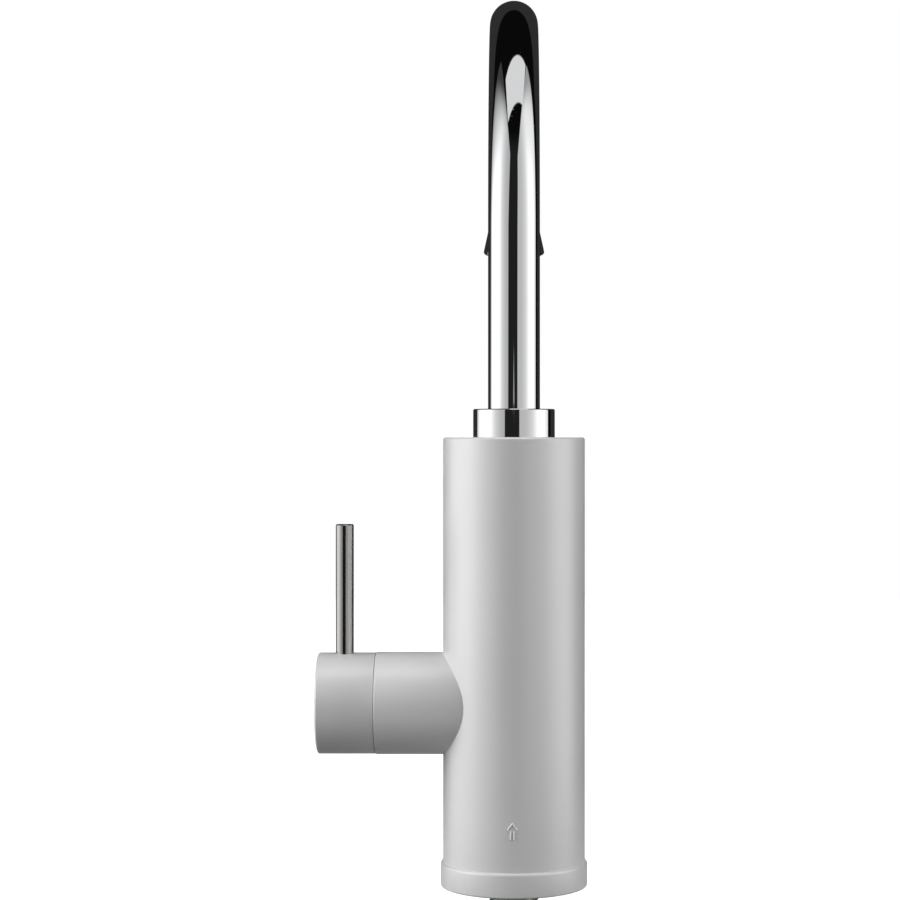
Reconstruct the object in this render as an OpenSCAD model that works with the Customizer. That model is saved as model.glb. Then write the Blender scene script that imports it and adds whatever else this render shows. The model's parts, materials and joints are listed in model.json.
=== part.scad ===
// Electric instant water heater tap: deck-mounted, side lever, swivelling gooseneck spout.
// Millimetres. Origin at the centre of the deck face under the base ring, +Z up,
// +Y the way the spout reaches, -X the lever side.

/* [Casing] */
// Outside diameter of the upright casing
body_d = 60; // [59:0.5:64]
// Height of the casing's flat top above the deck
body_top_z = 189.5; // [188:0.5:200]
// Wall of the casing and its branch
body_wall = 2.4; // [2:0.1:2.8]
// Thickness of the casing's top
top_wall = 3; // [2.6:0.1:4]
// Bevel round the casing's top edge
top_bevel = 0.7; // [0.3:0.1:1.5]

/* [Base] */
// Outside diameter of the base ring
ring_d = 62; // [61.5:0.5:68]
// Height of the base ring
ring_h = 10.4; // [9.6:0.1:12]
// Bevel at the base ring's top edge
ring_bevel = 1.3; // [0.5:0.1:2]
// Thickness of the gasket under the base plate
gasket_t = 2.2; // [1.6:0.1:2.4]
// Thickness of the base plate
plate_t = 4; // [3:0.1:4.4]

/* [Branch and handle] */
// Height of the handle's axis above the deck
axis_z = 77; // [76:0.5:80]
// Diameter of the branch and the knob
branch_d = 43; // [42.5:0.5:46]
// Distance of the seam from the casing's axis
seam_x = 58.1; // [57.6:0.1:60]
// Width of the seam between branch and knob
seam_gap = 0.5; // [0.4:0.1:1]
// Length of the knob
knob_len = 24.4; // [23:0.1:28]
// Rounding of the knob's outer edge
knob_round = 1.5; // [0.5:0.1:2.5]
// Diameter of the lever rod
lever_d = 7.6; // [7:0.1:9]
// Distance of the lever rod from the casing's axis
lever_x = 71.7; // [70:0.1:73]
// Height of the lever rod's top above the deck
lever_top_z = 152.7; // [120:0.1:170]

/* [Spout] */
// Outside diameter of the spout tube
tube_d = 22; // [21:0.5:22]
// Wall of the spout tube
tube_wall = 1.2; // [1:0.1:1.6]
// Height at which the spout starts to bend
arc_z = 278; // [240:1:320]
// Bend radius of the spout's centre line
arc_r = 103.5; // [80:0.5:130]
// Angle of the bend
arc_deg = 165; // [150:1:180]
// Length of the nozzle
nozzle_len = 21; // [20:0.5:26]
// Diameter of the nozzle's mouth
nozzle_d = 31.2; // [30:0.1:36]
// Diameter of the collar
collar_d = 34.6; // [34.4:0.1:38]
// Height of the collar
collar_h = 12; // [11.5:0.5:16]

/* [Under the deck] */
// Thickness of the deck that the tap is clamped to
deck_t = 30; // [10:1:36]
// Outside diameter of the shank, half-inch pipe thread
shank_d = 20.955; // [20.955:0.001:20.955]
// Bore of the shank
shank_bore = 14; // [12:0.5:15]
// Length of the shank below the deck
shank_len = 56; // [50:1:70]
// Length of the thread at the shank's end that takes the supply hose
tail_len = 10; // [8:0.5:12]
// How far the shank stands forward of the casing's axis
shank_y = 4; // [3.8:0.1:4.2]
// Diameter of the horseshoe plate and its pad
shoe_d = 48; // [44:1:54]
// Thickness of the horseshoe plate
shoe_t = 2; // [1.5:0.1:3]
// Thickness of the rubber pad
pad_t = 3; // [2:0.1:4]
// Thickness of the lock nut
lock_nut_t = 9; // [7:0.5:10]
// Size of the lock nut across its flats
lock_nut_w = 27; // [24:0.5:28]
// Diameter of the mains cable that the gland takes
cable_d = 7; // [6:0.1:7]

/* [Heater] */
// Height of the can's top above the handle's axis
can_rise = 92.5; // [90:0.5:93]
// Diameter of the heating element's tube
element_d = 6.4; // [5:0.1:6.4]
// Turns in the heating element
coil_turns = 5; // [3:1:5]
// Rise of the coil per turn
coil_pitch = 8.2; // [7.4:0.1:8.4]

/* [Valve] */
// Diameter of the ceramic discs' pocket
pocket_d = 22.9; // [22.5:0.1:23.4]
// Diameter of the spindle
spindle_d = 9.8; // [9:0.1:10]
// Diameter of the ports in the fixed disc
port_d = 5; // [4:0.1:5.4]

/* [Pressure switch] */
// Diameter of the diaphragm housing
switch_d = 25.2; // [25:0.1:25.6]
// Diameter of the pressure chamber
chamber_d = 18; // [16:0.5:18]
// Travel of the plunger
plunger_travel = 1.4; // [1:0.1:1.4]

/* [Fits] */
// Radial clearance where one piece turns or slides in another
run_fit = 0.05; // [0.03:0.01:0.08]
// Radial clearance where one fixed piece sits in another
seat_fit = 0.1; // [0.05:0.01:0.2]
// Free space between separate pieces
air_gap = 0.3; // [0.2:0.05:0.5]

/* [Hidden] */
$fn = 72;
body_r = body_d / 2;
inner_r = body_r - body_wall;
branch_r = branch_d / 2;
branch_in = branch_r - body_wall;
ring_r = ring_d / 2;
ring_in = body_r - 4;
ledge_in = ring_in - 1.8;
plate_z = gasket_t;
plate_top = plate_z + plate_t;
screw_r = inner_r - 7.6;
boss_top = 27;

cable_r = cable_d / 2 + seat_fit;
cable_y = shank_y - lock_nut_w / sqrt(3) - cable_r - 0.11;
block_y = -(inner_r - 8.8);
block_z = plate_top + 15.5;

shank_r = shank_d / 2;
pad_z = -deck_t - pad_t;
shoe_z = pad_z - shoe_t;
nut_z = shoe_z - lock_nut_t;
pipe_r = 5;
shank_top = 18;

knob_x = seam_x + seam_gap;
neck_r = 14;
valve_r = 16;
bulk_x = 48;
bulk_t = 2.5;
pocket_r = pocket_d / 2;
cart_r = pocket_r - run_fit;
spindle_r = spindle_d / 2;
port_y = shank_y;
port_r = port_d / 2;
floor_x = 16;
seal_t = 1.9;
disc_t = 3;
fixed_x = floor_x + seal_t;
moving_x = fixed_x + disc_t;
driver_x = moving_x + disc_t;
driver_t = 3.5;
thrust_x = driver_x + driver_t;
thrust_t = 1.1;
cart_x = 50;
cart_nut_t = 6;
disc_r = 9;
square = 7;

switch_r = switch_d / 2;
switch_y = -(inner_r - switch_r - 0.8);
chamber_r = chamber_d / 2;
switch_screw_r = (switch_r + chamber_r) / 2;
dia_top = axis_z - 17;
dia_t = 1;
cover_top = dia_top - dia_t;
cover_t = 6.5;
cover_floor = 1.5;
plunger_top = cover_top - 0.1;
plunger_t = 1.5;
stem_r = 2;
stem_z = cover_top - 8.5;
micro_w = 27.8;
micro_d = 10.3;
micro_h = 15.9;
micro_top = stem_z - plunger_travel - 0.5;
micro_z = micro_top - micro_h;
tag_z = micro_z - 1.7;
bolt_x = 11.1;

lid_z = axis_z + 30;
lid_t = 3.5;
lid_r = inner_r - 0.6;
lid_top = lid_z + lid_t;
flange_t = 2.5;
bolt_r = inner_r - 3.4;
can_r = bolt_r - 3.5;
can_wall = 1;
coil_r = can_r - 6.2;
can_top = axis_z + can_rise;
nipple_x = -8;
nipple_r = 4.2;
element_r = element_d / 2;
leg_z = lid_z - 6;
pin_z = leg_z - 3.2;
leg_a = [coil_r, -5];
leg_b = [3, 0];
coil_z = lid_top + 6.5;
outlet_r = 5.5;
outlet_top = can_top + 9.5;
tag_at = [8, 16];

tube_r = tube_d / 2;
tube_in = tube_r - tube_wall;
socket_r = 13.5;
socket_top = body_top_z + 9.8;
socket_z = body_top_z - 13.5;
bore_r = tube_r + run_fit;
bore_z = socket_z + 4;
clip_z = bore_z + 1;
clip_t = 1.2;
end_top = body_top_z + 6.5;
collar_r = collar_d / 2;
tilt = 180 - arc_deg;
nozzle_r = nozzle_d / 2;
mouth_r = 12.1;

// Turning helpers: a piece drawn along +Z is laid along -X at the handle's axis, x measured outward.
module outward(x = 0) {
  translate([-x, 0, axis_z])
    rotate([0, -90, 0])
      children();
}

module pipe(r_out, r_in, h) {
  difference() {
    cylinder(r = r_out, h = h);
    translate([0, 0, -1])
      cylinder(r = r_in, h = h + 2);
  }
}

module torus(big, small) {
  rotate_extrude()
    translate([big, 0])
      circle(r = small, $fn = 32);
}

module hex(flats, h) {
  cylinder(r = flats / sqrt(3), h = h, $fn = 6);
}

// Places children at the spout's outlet, +Z the way the water leaves.
module at_outlet() {
  translate([0, arc_r + arc_r * cos(tilt), arc_z + arc_r * sin(tilt)])
    rotate([180 + tilt, 0, 0])
      children();
}

// Round wire or tube swept along a list of points.
function unit(v) = v / norm(v);
function path_dir(p, i) = unit(p[min(i + 1, len(p) - 1)] - p[max(i - 1, 0)]);
function carried(n, t) = unit(n - (n * t) * t);
function frames(p, first) = [for (i = 0, n = carried(first, path_dir(p, 0));
  i < len(p);
  i = i + 1, n = carried(n, path_dir(p, min(i, len(p) - 1)))) n];
function spline_at(a, b, c, d, t) = 0.5 * (2 * b + (c - a) * t + (2 * a - 5 * b + 4 * c - d) * t * t
  + (3 * b - a - 3 * c + d) * t * t * t);
function spline(p, steps) = concat([for (i = [0 : len(p) - 2], s = [0 : steps - 1])
  spline_at(p[max(i - 1, 0)], p[i], p[i + 1], p[min(i + 2, len(p) - 1)], s / steps)], [p[len(p) - 1]]);

// A lead's points: straight out of its terminal and into its tag, smooth between.
function lead(p, steps) = concat([p[0]], spline([for (i = [1 : len(p) - 2]) p[i]], steps), [p[len(p) - 1]]);

module sweep(p, r, sides, first = [1, 0, 0]) {
  f = frames(p, first);
  last = len(p) - 1;
  pts = [for (i = [0 : last], k = [0 : sides - 1])
    p[i] + r * (cos(360 * k / sides) * f[i] + sin(360 * k / sides) * cross(path_dir(p, i), f[i]))];
  side = [for (i = [0 : last - 1], k = [0 : sides - 1])
    [i * sides + k, (i + 1) * sides + k, (i + 1) * sides + (k + 1) % sides, i * sides + (k + 1) % sides]];
  caps = [[for (k = [0 : sides - 1]) k], [for (k = [sides - 1 : -1 : 0]) last * sides + k]];
  polyhedron(points = pts, faces = concat(side, caps), convexity = 8);
}

// Base

module base_ring() {
  color([0.93, 0.93, 0.92])
    rotate_extrude()
      polygon([[ring_in, 0], [ring_r - 0.8, 0], [ring_r, 0.8], [ring_r, ring_h - ring_bevel],
        [body_r, ring_h], [inner_r - 0.2, ring_h], [inner_r - 0.2, ring_h + 6], [inner_r - 2.2, ring_h + 6],
        [inner_r - 2.2, ring_h], [ledge_in, ring_h], [ledge_in, plate_top], [ring_in, plate_top]]);
}

module base_plate() {
  color([0.82, 0.82, 0.81])
    difference() {
      union() {
        translate([0, 0, plate_z])
          cylinder(r = ring_in - 0.2, h = plate_t);
        translate([-1.8, shank_y + 11.2, plate_top - 1])
          cube([3.6, 4.3, 3.8]);
        translate([-10.4, cable_y - 6.4, plate_top - 1])
          cube([20.8, 2.4, 11.8]);
        for (x = [-7.5, 7.5])
          translate([x, cable_y - 4.5, plate_top + 7.8])
            rotate([-90, 0, 0])
              cylinder(r = 2.6, h = 7.8);
      }
      translate([0, shank_y, plate_z - 1])
        cylinder(r = shank_r + seat_fit, h = plate_t + 2);
      translate([0, cable_y, plate_z - 1])
        cylinder(r = cable_r + 0.7, h = plate_t + 2);
      for (a = [45 : 90 : 315])
        rotate([0, 0, a])
          translate([screw_r, 0, plate_z - 1]) {
            cylinder(r = 1.7, h = plate_t + 2);
            cylinder(r = 2.9, h = 2.8);
          }
      translate([0, cable_y, plate_top])
        cylinder(r = cable_r + 1.8, h = 3);
      for (x = [-7.5, 7.5])
        translate([x, cable_y - 3, plate_top + 7.8])
          rotate([-90, 0, 0])
            cylinder(r = 1.2, h = 9);
    }
}

module base_screws() {
  color([0.7, 0.7, 0.72])
    for (a = [45 : 90 : 315])
      rotate([0, 0, a])
        translate([screw_r, 0, plate_z + 0.1])
          difference() {
            union() {
              cylinder(r = 2.7, h = 1.7);
              cylinder(r = 1.2, h = 18);
            }
            translate([-1.7, -0.35, -1])
              cube([3.4, 0.7, 1.9]);
            translate([-0.35, -1.7, -1])
              cube([0.7, 3.4, 1.9]);
          }
}

module deck_gasket() {
  color([0.12, 0.12, 0.12])
    pipe(ring_in - 0.2, ring_in - 3.1, gasket_t);
}

module shank() {
  color([0.78, 0.68, 0.42])
    difference() {
      union() {
        translate([0, shank_y, -shank_len])
          cylinder(r = shank_r, h = shank_len + plate_top);
        translate([0, shank_y, plate_top])
          cylinder(r = 13.5, h = 3);
        translate([0, shank_y, plate_top])
          cylinder(r = 7, h = shank_top - plate_top);
      }
      translate([0, shank_y, -shank_len - 1])
        cylinder(r = shank_bore / 2, h = shank_len + 3);
      translate([0, shank_y, 0])
        cylinder(r = 4, h = shank_top + 1);
      translate([0, shank_y, 12])
        cylinder(r = pipe_r + run_fit, h = shank_top);
      translate([0, shank_y, tail_len - shank_len])
        pipe(shank_r + 1, shank_r - 1.3, 1.2);
      translate([-2, shank_y + 11, plate_top - 0.01])
        cube([4, 4, 4]);
    }
}

module strainer() {
  color([0.75, 0.76, 0.78])
    translate([0, shank_y, -shank_len + 1])
      difference() {
        union() {
          pipe(shank_bore / 2 - 0.05, shank_bore / 2 - 1.2, 3);
          translate([0, 0, 2])
            cylinder(r = shank_bore / 2 - 0.6, h = 1);
        }
        for (ring = [0 : 3], k = [0 : max(0, 6 * ring - 1)])
          rotate([0, 0, ring == 0 ? 0 : 60 * k / ring])
            translate([1.45 * ring, 0, 1])
              cylinder(r = 0.5, h = 3, $fn = 16);
      }
}

module horseshoe_form(t) {
  difference() {
    cylinder(r = shoe_d / 2, h = t);
    translate([0, 0, -1])
      cylinder(r = shank_r + 0.4, h = t + 2);
    translate([-cable_d / 2 - 1, -shoe_d, -1])
      cube([cable_d + 2, shoe_d, t + 2]);
  }
}

module deck_pad() {
  color([0.12, 0.12, 0.12])
    translate([0, shank_y, pad_z])
      horseshoe_form(pad_t);
}

module horseshoe() {
  color([0.75, 0.76, 0.78])
    translate([0, shank_y, shoe_z])
      horseshoe_form(shoe_t);
}

module lock_nut() {
  color([0.8, 0.7, 0.45])
    translate([0, shank_y, nut_z])
      difference() {
        intersection() {
          hex(lock_nut_w, lock_nut_t);
          rotate_extrude()
            polygon([[0, 0], [lock_nut_w / 2 + 0.1, 0], [lock_nut_w / 2 + 2.5, 1.4],
              [lock_nut_w / 2 + 2.5, lock_nut_t], [0, lock_nut_t]]);
        }
        translate([0, 0, -1])
          cylinder(r = shank_r + run_fit, h = lock_nut_t + 2);
      }
}

module cable_gland() {
  color([0.15, 0.15, 0.16])
    translate([0, cable_y, 0])
      rotate_extrude()
        polygon([[cable_r, 0.8], [cable_r + 1.3, 0.8], [cable_r + 1.3, plate_z], [cable_r + 0.6, plate_z],
          [cable_r + 0.6, plate_top], [cable_r + 1.5, plate_top], [cable_r + 1.5, plate_top + 1.6],
          [cable_r + 0.9, plate_top + 2.6], [cable_r, plate_top + 2.6]]);
}

module cord_clamp() {
  color([0.2, 0.2, 0.21])
    difference() {
      translate([-10.5, cable_y + 3.6, plate_top + 4.8])
        cube([21, 2.8, 6]);
      for (x = [-7.5, 7.5])
        translate([x, cable_y, plate_top + 7.8])
          rotate([-90, 0, 0])
            cylinder(r = 1.3, h = 12);
    }
}

module clamp_screws() {
  color([0.7, 0.7, 0.72])
    for (x = [-7.5, 7.5])
      translate([x, cable_y, plate_top + 7.8])
        rotate([-90, 0, 0])
          difference() {
            union() {
              translate([0, 0, -2])
                cylinder(r = 1.15, h = 8.5);
              translate([0, 0, 6.4])
                cylinder(r = 2.3, h = 1.4);
            }
            translate([-2.5, -0.3, 7.1])
              cube([5, 0.6, 1]);
          }
}

module terminal_block() {
  color([0.9, 0.88, 0.82])
    difference() {
      translate([-10, block_y - 5.3, plate_top + 11])
        cube([20, 10.6, 10]);
      for (x = [-6.5, 0, 6.5]) {
        translate([x, block_y, plate_top + 10])
          cylinder(r = 1.7, h = 12);
        translate([x, block_y, plate_top + 16])
          rotate([-90, 0, 0])
            cylinder(r = 1.9, h = 6);
      }
    }
}

module terminal_screws() {
  color([0.78, 0.72, 0.5])
    for (x = [-6.5, 0, 6.5])
      translate([x, block_y + 1.8, plate_top + 16])
        rotate([-90, 0, 0])
          difference() {
            cylinder(r = 1.8, h = 2.8);
            translate([-2, -0.3, 2])
              cube([4, 0.6, 1]);
          }
}

// Casing

module casing() {
  color([0.94, 0.94, 0.93])
    difference() {
      union() {
        difference() {
          union() {
            rotate_extrude()
              polygon([[0, ring_h], [body_r, ring_h], [body_r, body_top_z - top_bevel],
                [body_r - top_bevel, body_top_z], [0, body_top_z]]);
            outward()
              cylinder(r = branch_r, h = seam_x);
          }
          translate([0, 0, ring_h - 1])
            cylinder(r = inner_r, h = body_top_z - top_wall - ring_h + 1);
          outward()
            cylinder(r = branch_in, h = seam_x + 1);
        }
        outward(bulk_x)
          pipe(branch_in + 0.5, neck_r + 0.2, bulk_t);
        for (a = [45 : 90 : 315])
          rotate([0, 0, a]) {
            translate([screw_r, 0, plate_top + 0.1])
              cylinder(r = 3.2, h = boss_top - plate_top - 0.1);
            translate([screw_r + 2, -1, ring_h + 6.5])
              cube([inner_r - screw_r - 1.5, 2, boss_top - ring_h - 6.5]);
          }
      }
      translate([0, 0, body_top_z - top_wall - 1])
        cylinder(r = socket_r + seat_fit, h = top_wall + 2);
      for (a = [45 : 90 : 315])
        rotate([0, 0, a])
          translate([screw_r, 0, plate_top - 1])
            cylinder(r = 1.3, h = boss_top - plate_top - 2);
    }
}

// Water path

module feed_pipe() {
  color([0.75, 0.76, 0.78])
    translate([0, shank_y, 12])
      pipe(pipe_r, pipe_r - 1, dia_top + 4.6 - 12);
}

module valve_body() {
  color([0.8, 0.7, 0.45])
    difference() {
      union() {
        outward(-7)
          cylinder(r = valve_r, h = bulk_x + 7);
        outward(bulk_x - 0.01)
          cylinder(r = neck_r, h = 8.5);
        translate([0, switch_y, dia_top])
          cylinder(r = switch_r, h = axis_z - dia_top);
        translate([0, port_y, dia_top])
          cylinder(r = pipe_r + 1.2, h = axis_z - dia_top);
        translate([nipple_x, -port_y, axis_z])
          cylinder(r = 6, h = 20);
      }
      outward(floor_x)
        cylinder(r = pocket_r, h = 60);
      translate([0, port_y, dia_top - 1])
        cylinder(r = pipe_r + run_fit, h = 5.8);
      translate([0, port_y, dia_top])
        cylinder(r = 3.6, h = axis_z - dia_top);
      outward(0)
        translate([0, port_y, 0])
          cylinder(r = port_r, h = floor_x + 1);
      outward(0.5)
        translate([0, -port_y, 0])
          cylinder(r = port_r, h = floor_x);
      translate([nipple_x, -port_y, axis_z])
        cylinder(r = 3, h = 21);
      translate([nipple_x, -port_y, axis_z + 14])
        cylinder(r = nipple_r + seat_fit, h = 7);
      translate([-1.5, -port_y - 2.2, dia_top])
        cylinder(r = 0.8, h = axis_z - dia_top);
      translate([0, switch_y, dia_top - 1])
        cylinder(r = chamber_r, h = 3.5);
      for (a = [0 : 90 : 270])
        translate([0, switch_y, dia_top - 1])
          rotate([0, 0, a])
            translate([switch_screw_r, 0, 0])
              cylinder(r = 1.25, h = 7);
    }
}

module bonnet_nut() {
  color([0.8, 0.7, 0.45])
    outward(bulk_x + bulk_t)
      difference() {
        cylinder(r = 18.2, h = 4, $fn = 6);
        translate([0, 0, -1])
          cylinder(r = neck_r + run_fit, h = 6);
      }
}

module port_seal() {
  color([0.12, 0.12, 0.12])
    outward(floor_x)
      difference() {
        cylinder(r = pocket_r - 0.4, h = seal_t);
        for (y = [-port_y, port_y])
          translate([0, y, -1])
            cylinder(r = port_r, h = seal_t + 2);
      }
}

module fixed_disc() {
  color([0.95, 0.94, 0.9])
    outward(fixed_x)
      difference() {
        cylinder(r = cart_r, h = disc_t);
        for (y = [-port_y, port_y])
          translate([0, y, -1])
            cylinder(r = port_r, h = disc_t + 2);
      }
}

module moving_disc() {
  color([0.85, 0.84, 0.8])
    outward(moving_x)
      difference() {
        cylinder(r = disc_r, h = disc_t);
        for (x = [-port_y, port_y])
          translate([x, 0, -1])
            cylinder(r = port_r - 0.1, h = 2.3);
        translate([-port_y, -1.2, -1])
          cube([2 * port_y, 2.4, 2.3]);
        translate([-6.5, -1.6, disc_t - 1.2])
          cube([13, 3.2, 2]);
      }
}

module spindle() {
  color([0.8, 0.7, 0.45])
    outward(driver_x)
      difference() {
        union() {
          cylinder(r = disc_r, h = driver_t);
          translate([-6.4, -1.5, -1.1])
            cube([12.8, 3, 1.2]);
          cylinder(r = spindle_r, h = knob_x + 1.4 - driver_x);
          translate([-square / 2, -square / 2, knob_x - driver_x])
            cube([square, square, knob_len - 5]);
        }
        translate([0, 0, 19])
          pipe(spindle_r + 1, spindle_r - 1, 1.8);
      }
}

module spindle_oring() {
  color([0.12, 0.12, 0.12])
    outward(driver_x + 19.9)
      torus(spindle_r - 0.48, 0.5);
}

module thrust_washer() {
  color([0.92, 0.92, 0.9])
    outward(thrust_x)
      pipe(disc_r, spindle_r + 0.1, thrust_t);
}

module cartridge() {
  color([0.88, 0.87, 0.83])
    outward(moving_x)
      difference() {
        cylinder(r = cart_r, h = cart_x - moving_x);
        translate([0, 0, -1])
          cylinder(r = disc_r + 0.4, h = thrust_x + thrust_t - moving_x + 1);
        cylinder(r = spindle_r + run_fit, h = 60);
      }
}

module cartridge_nut() {
  color([0.8, 0.7, 0.45])
    outward(cart_x)
      difference() {
        cylinder(r = cart_r, h = cart_nut_t);
        translate([0, 0, -1])
          cylinder(r = spindle_r + 0.5, h = 8);
        translate([0, 0, 3])
          hex(14, 4);
      }
}

module knob() {
  color([0.94, 0.94, 0.93])
    outward(knob_x)
      difference() {
        union() {
          rotate_extrude()
            polygon(concat([[branch_in - 1.7, -2.8], [branch_in - air_gap, -2.8], [branch_in - air_gap, 0],
              [branch_r - 0.3, 0], [branch_r, 0.3]],
              [for (a = [0 : 15 : 90]) [branch_r - knob_round + knob_round * cos(a),
                knob_len - knob_round + knob_round * sin(a)]],
              [[0, knob_len], [0, knob_len - 3], [branch_r - 2.7, knob_len - 3], [branch_r - 2.7, 2.6],
                [branch_in - 1.7, 2.6]]));
          translate([0, 0, 1.6])
            cylinder(r = 8.5, h = knob_len - 4);
          intersection() {
            translate([0, 0, lever_x - knob_x])
              rotate([0, 90, 0])
                cylinder(r = 6.4, h = branch_r);
            translate([0, 0, 0.5])
              cylinder(r = branch_r - 1, h = knob_len - 1.5);
          }
        }
        translate([-square / 2 - 0.05, -square / 2 - 0.05, -1])
          cube([square + 0.1, square + 0.1, knob_len - 3.9]);
        translate([0, 0, -1])
          cylinder(r = spindle_r + 0.1, h = 2.5);
        translate([0, 0, lever_x - knob_x])
          rotate([0, 90, 0]) {
            cylinder(r = 2.95, h = branch_r);
            translate([0, 0, 10])
              cylinder(r = lever_d / 2 + 0.03, h = branch_r);
          }
      }
}

module lever_rod() {
  color([0.7, 0.7, 0.71])
    translate([-lever_x, 0, axis_z])
      rotate_extrude()
        polygon([[0, 3.6], [2.9, 3.6], [2.9, 10.1], [lever_d / 2, 10.1],
          [lever_d / 2, lever_top_z - axis_z - 0.4], [lever_d / 2 - 0.4, lever_top_z - axis_z],
          [0, lever_top_z - axis_z]]);
}

// Pressure switch

module diaphragm() {
  color([0.14, 0.14, 0.15])
    translate([0, switch_y, cover_top])
      difference() {
        union() {
          cylinder(r = switch_r - 0.2, h = dia_t);
          cylinder(r = 5, h = dia_t + 1.2);
          translate([0, 0, dia_t])
            torus(7.6, 0.5);
        }
        for (a = [0 : 90 : 270])
          rotate([0, 0, a])
            translate([switch_screw_r, 0, -1])
              cylinder(r = 1.4, h = 4);
      }
}

module switch_housing() {
  color([0.2, 0.2, 0.21])
    difference() {
      union() {
        translate([0, switch_y, cover_top - cover_t])
          cylinder(r = switch_r, h = cover_t);
        for (y = [-micro_d / 2 - 2, micro_d / 2 + 0.3])
          translate([-14, switch_y + y, micro_top - 10])
            cube([28, 1.7, cover_top - cover_t - micro_top + 10.5]);
      }
      translate([0, switch_y, cover_top - cover_t + cover_floor])
        cylinder(r = chamber_r, h = cover_t);
      translate([0, switch_y, cover_top - cover_t - 1])
        cylinder(r = stem_r + run_fit, h = 4);
      for (a = [0 : 90 : 270])
        translate([0, switch_y, cover_top - cover_t - 1])
          rotate([0, 0, a])
            translate([switch_screw_r, 0, 0])
              cylinder(r = 1.4, h = 10);
      for (x = [-bolt_x, bolt_x])
        translate([x, switch_y - 10, micro_top - 5.5])
          rotate([-90, 0, 0])
            cylinder(r = 1.55, h = 20);
    }
}

module switch_screws() {
  color([0.7, 0.7, 0.72])
    for (a = [0 : 90 : 270])
      translate([0, switch_y, cover_top - cover_t])
        rotate([0, 0, a])
          translate([switch_screw_r, 0, 0]) {
            difference() {
              translate([0, 0, -1.5])
                cylinder(r = 1.9, h = 1.5);
              translate([-2, -0.3, -2])
                cube([4, 0.6, 1.2]);
            }
            cylinder(r = 1.15, h = cover_t + 5);
          }
}

module plunger() {
  color([0.92, 0.92, 0.9])
    translate([0, switch_y, 0]) {
      translate([0, 0, plunger_top - plunger_t])
        cylinder(r = chamber_r - 0.6, h = plunger_t);
      translate([0, 0, stem_z])
        cylinder(r = stem_r, h = plunger_top - plunger_t - stem_z + 0.01);
    }
}

module return_spring() {
  low = cover_top - cover_t + cover_floor + 0.35;
  high = plunger_top - plunger_t - 0.35;
  turns = 3;
  steps = 16;
  color([0.6, 0.6, 0.62])
    sweep([for (i = [0 : turns * steps])
      [5 * cos(360 * i / steps), switch_y + 5 * sin(360 * i / steps),
        low + (high - low) * i / (turns * steps)]], 0.3, 8, [0, 0, 1]);
}

module microswitch() {
  color([0.13, 0.13, 0.14])
    difference() {
      translate([-micro_w / 2, switch_y - micro_d / 2, micro_z])
        cube([micro_w, micro_d, micro_h]);
      for (x = [-bolt_x, bolt_x])
        translate([x, switch_y - 10, micro_top - 5.5])
          rotate([-90, 0, 0])
            cylinder(r = 1.55, h = 20);
      translate([-2, switch_y - 1.6, micro_top - 6])
        cube([4, 3.2, 7]);
    }
}

module switch_button() {
  color([0.75, 0.2, 0.15])
    translate([-1.95, switch_y - 1.55, micro_top - 4.2])
      cube([3.9, 3.1, stem_z - micro_top + 4.2]);
}

module switch_bolts() {
  color([0.7, 0.7, 0.72])
    for (x = [-bolt_x, bolt_x])
      translate([x, switch_y - micro_d / 2 - 2, micro_top - 5.5])
        rotate([-90, 0, 0]) {
          translate([0, 0, -1.8])
            cylinder(r = 2.7, h = 1.8);
          cylinder(r = 1.45, h = 17);
          translate([0, 0, micro_d + 4])
            hex(5.5, 2.2);
        }
}

module switch_tags() {
  color([0.8, 0.7, 0.45])
    for (x = [-9, 1, 9])
      translate([x - 1.6, switch_y - 0.4, micro_z - 3])
        cube([3.2, 0.8, 3]);
}

// Heater

module heater_lid() {
  color([0.75, 0.76, 0.78])
    difference() {
      union() {
        translate([0, 0, lid_z])
          cylinder(r = lid_r, h = lid_t);
        translate([nipple_x, -port_y, axis_z + 15])
          cylinder(r = nipple_r, h = lid_z - axis_z - 15 + 0.01);
      }
      translate([0, 0, lid_top - 1.6])
        pipe(can_r + 1.5, can_r - 0.5, 3);
      translate([nipple_x, -port_y, axis_z])
        cylinder(r = 2.8, h = 40);
      translate([nipple_x, -port_y, axis_z + 16.2])
        pipe(nipple_r + 1, nipple_r - 0.8, 1.6);
      for (p = [leg_a, leg_b])
        translate([p[0], p[1], lid_z - 1])
          cylinder(r = element_r + 0.15, h = lid_t + 2);
      for (a = [30 : 60 : 330])
        rotate([0, 0, a])
          translate([bolt_r, 0, lid_z - 1])
            cylinder(r = 1.6, h = lid_t + 2);
      translate([tag_at[0], tag_at[1], lid_z - 1])
        cylinder(r = 1.3, h = 3.5);
    }
}

module nipple_oring() {
  color([0.12, 0.12, 0.12])
    translate([nipple_x, -port_y, axis_z + 17])
      torus(nipple_r - 0.35, 0.42);
}

module lid_seal() {
  color([0.12, 0.12, 0.12])
    translate([0, 0, lid_top - 0.8])
      torus(can_r + 0.5, 0.78);
}

module heater_can() {
  color([0.72, 0.73, 0.75])
    difference() {
      union() {
        rotate_extrude()
          polygon([[0, lid_top], [lid_r, lid_top], [lid_r, lid_top + flange_t], [can_r, lid_top + flange_t],
            [can_r, can_top - 2], [can_r - 2, can_top], [0, can_top]]);
        translate([0, 0, can_top - 1])
          cylinder(r = outlet_r, h = outlet_top - can_top + 1);
      }
      rotate_extrude()
        polygon([[0, lid_top - 1], [can_r - can_wall, lid_top - 1], [can_r - can_wall, can_top - 2.6],
          [can_r - 2.4, can_top - can_wall - 0.3], [0, can_top - can_wall - 0.3]]);
      translate([0, 0, can_top - 4])
        cylinder(r = outlet_r - 1.2, h = 20);
      for (a = [30 : 60 : 330])
        rotate([0, 0, a])
          translate([bolt_r, 0, lid_top - 1])
            cylinder(r = 1.6, h = flange_t + 2);
    }
}

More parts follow.
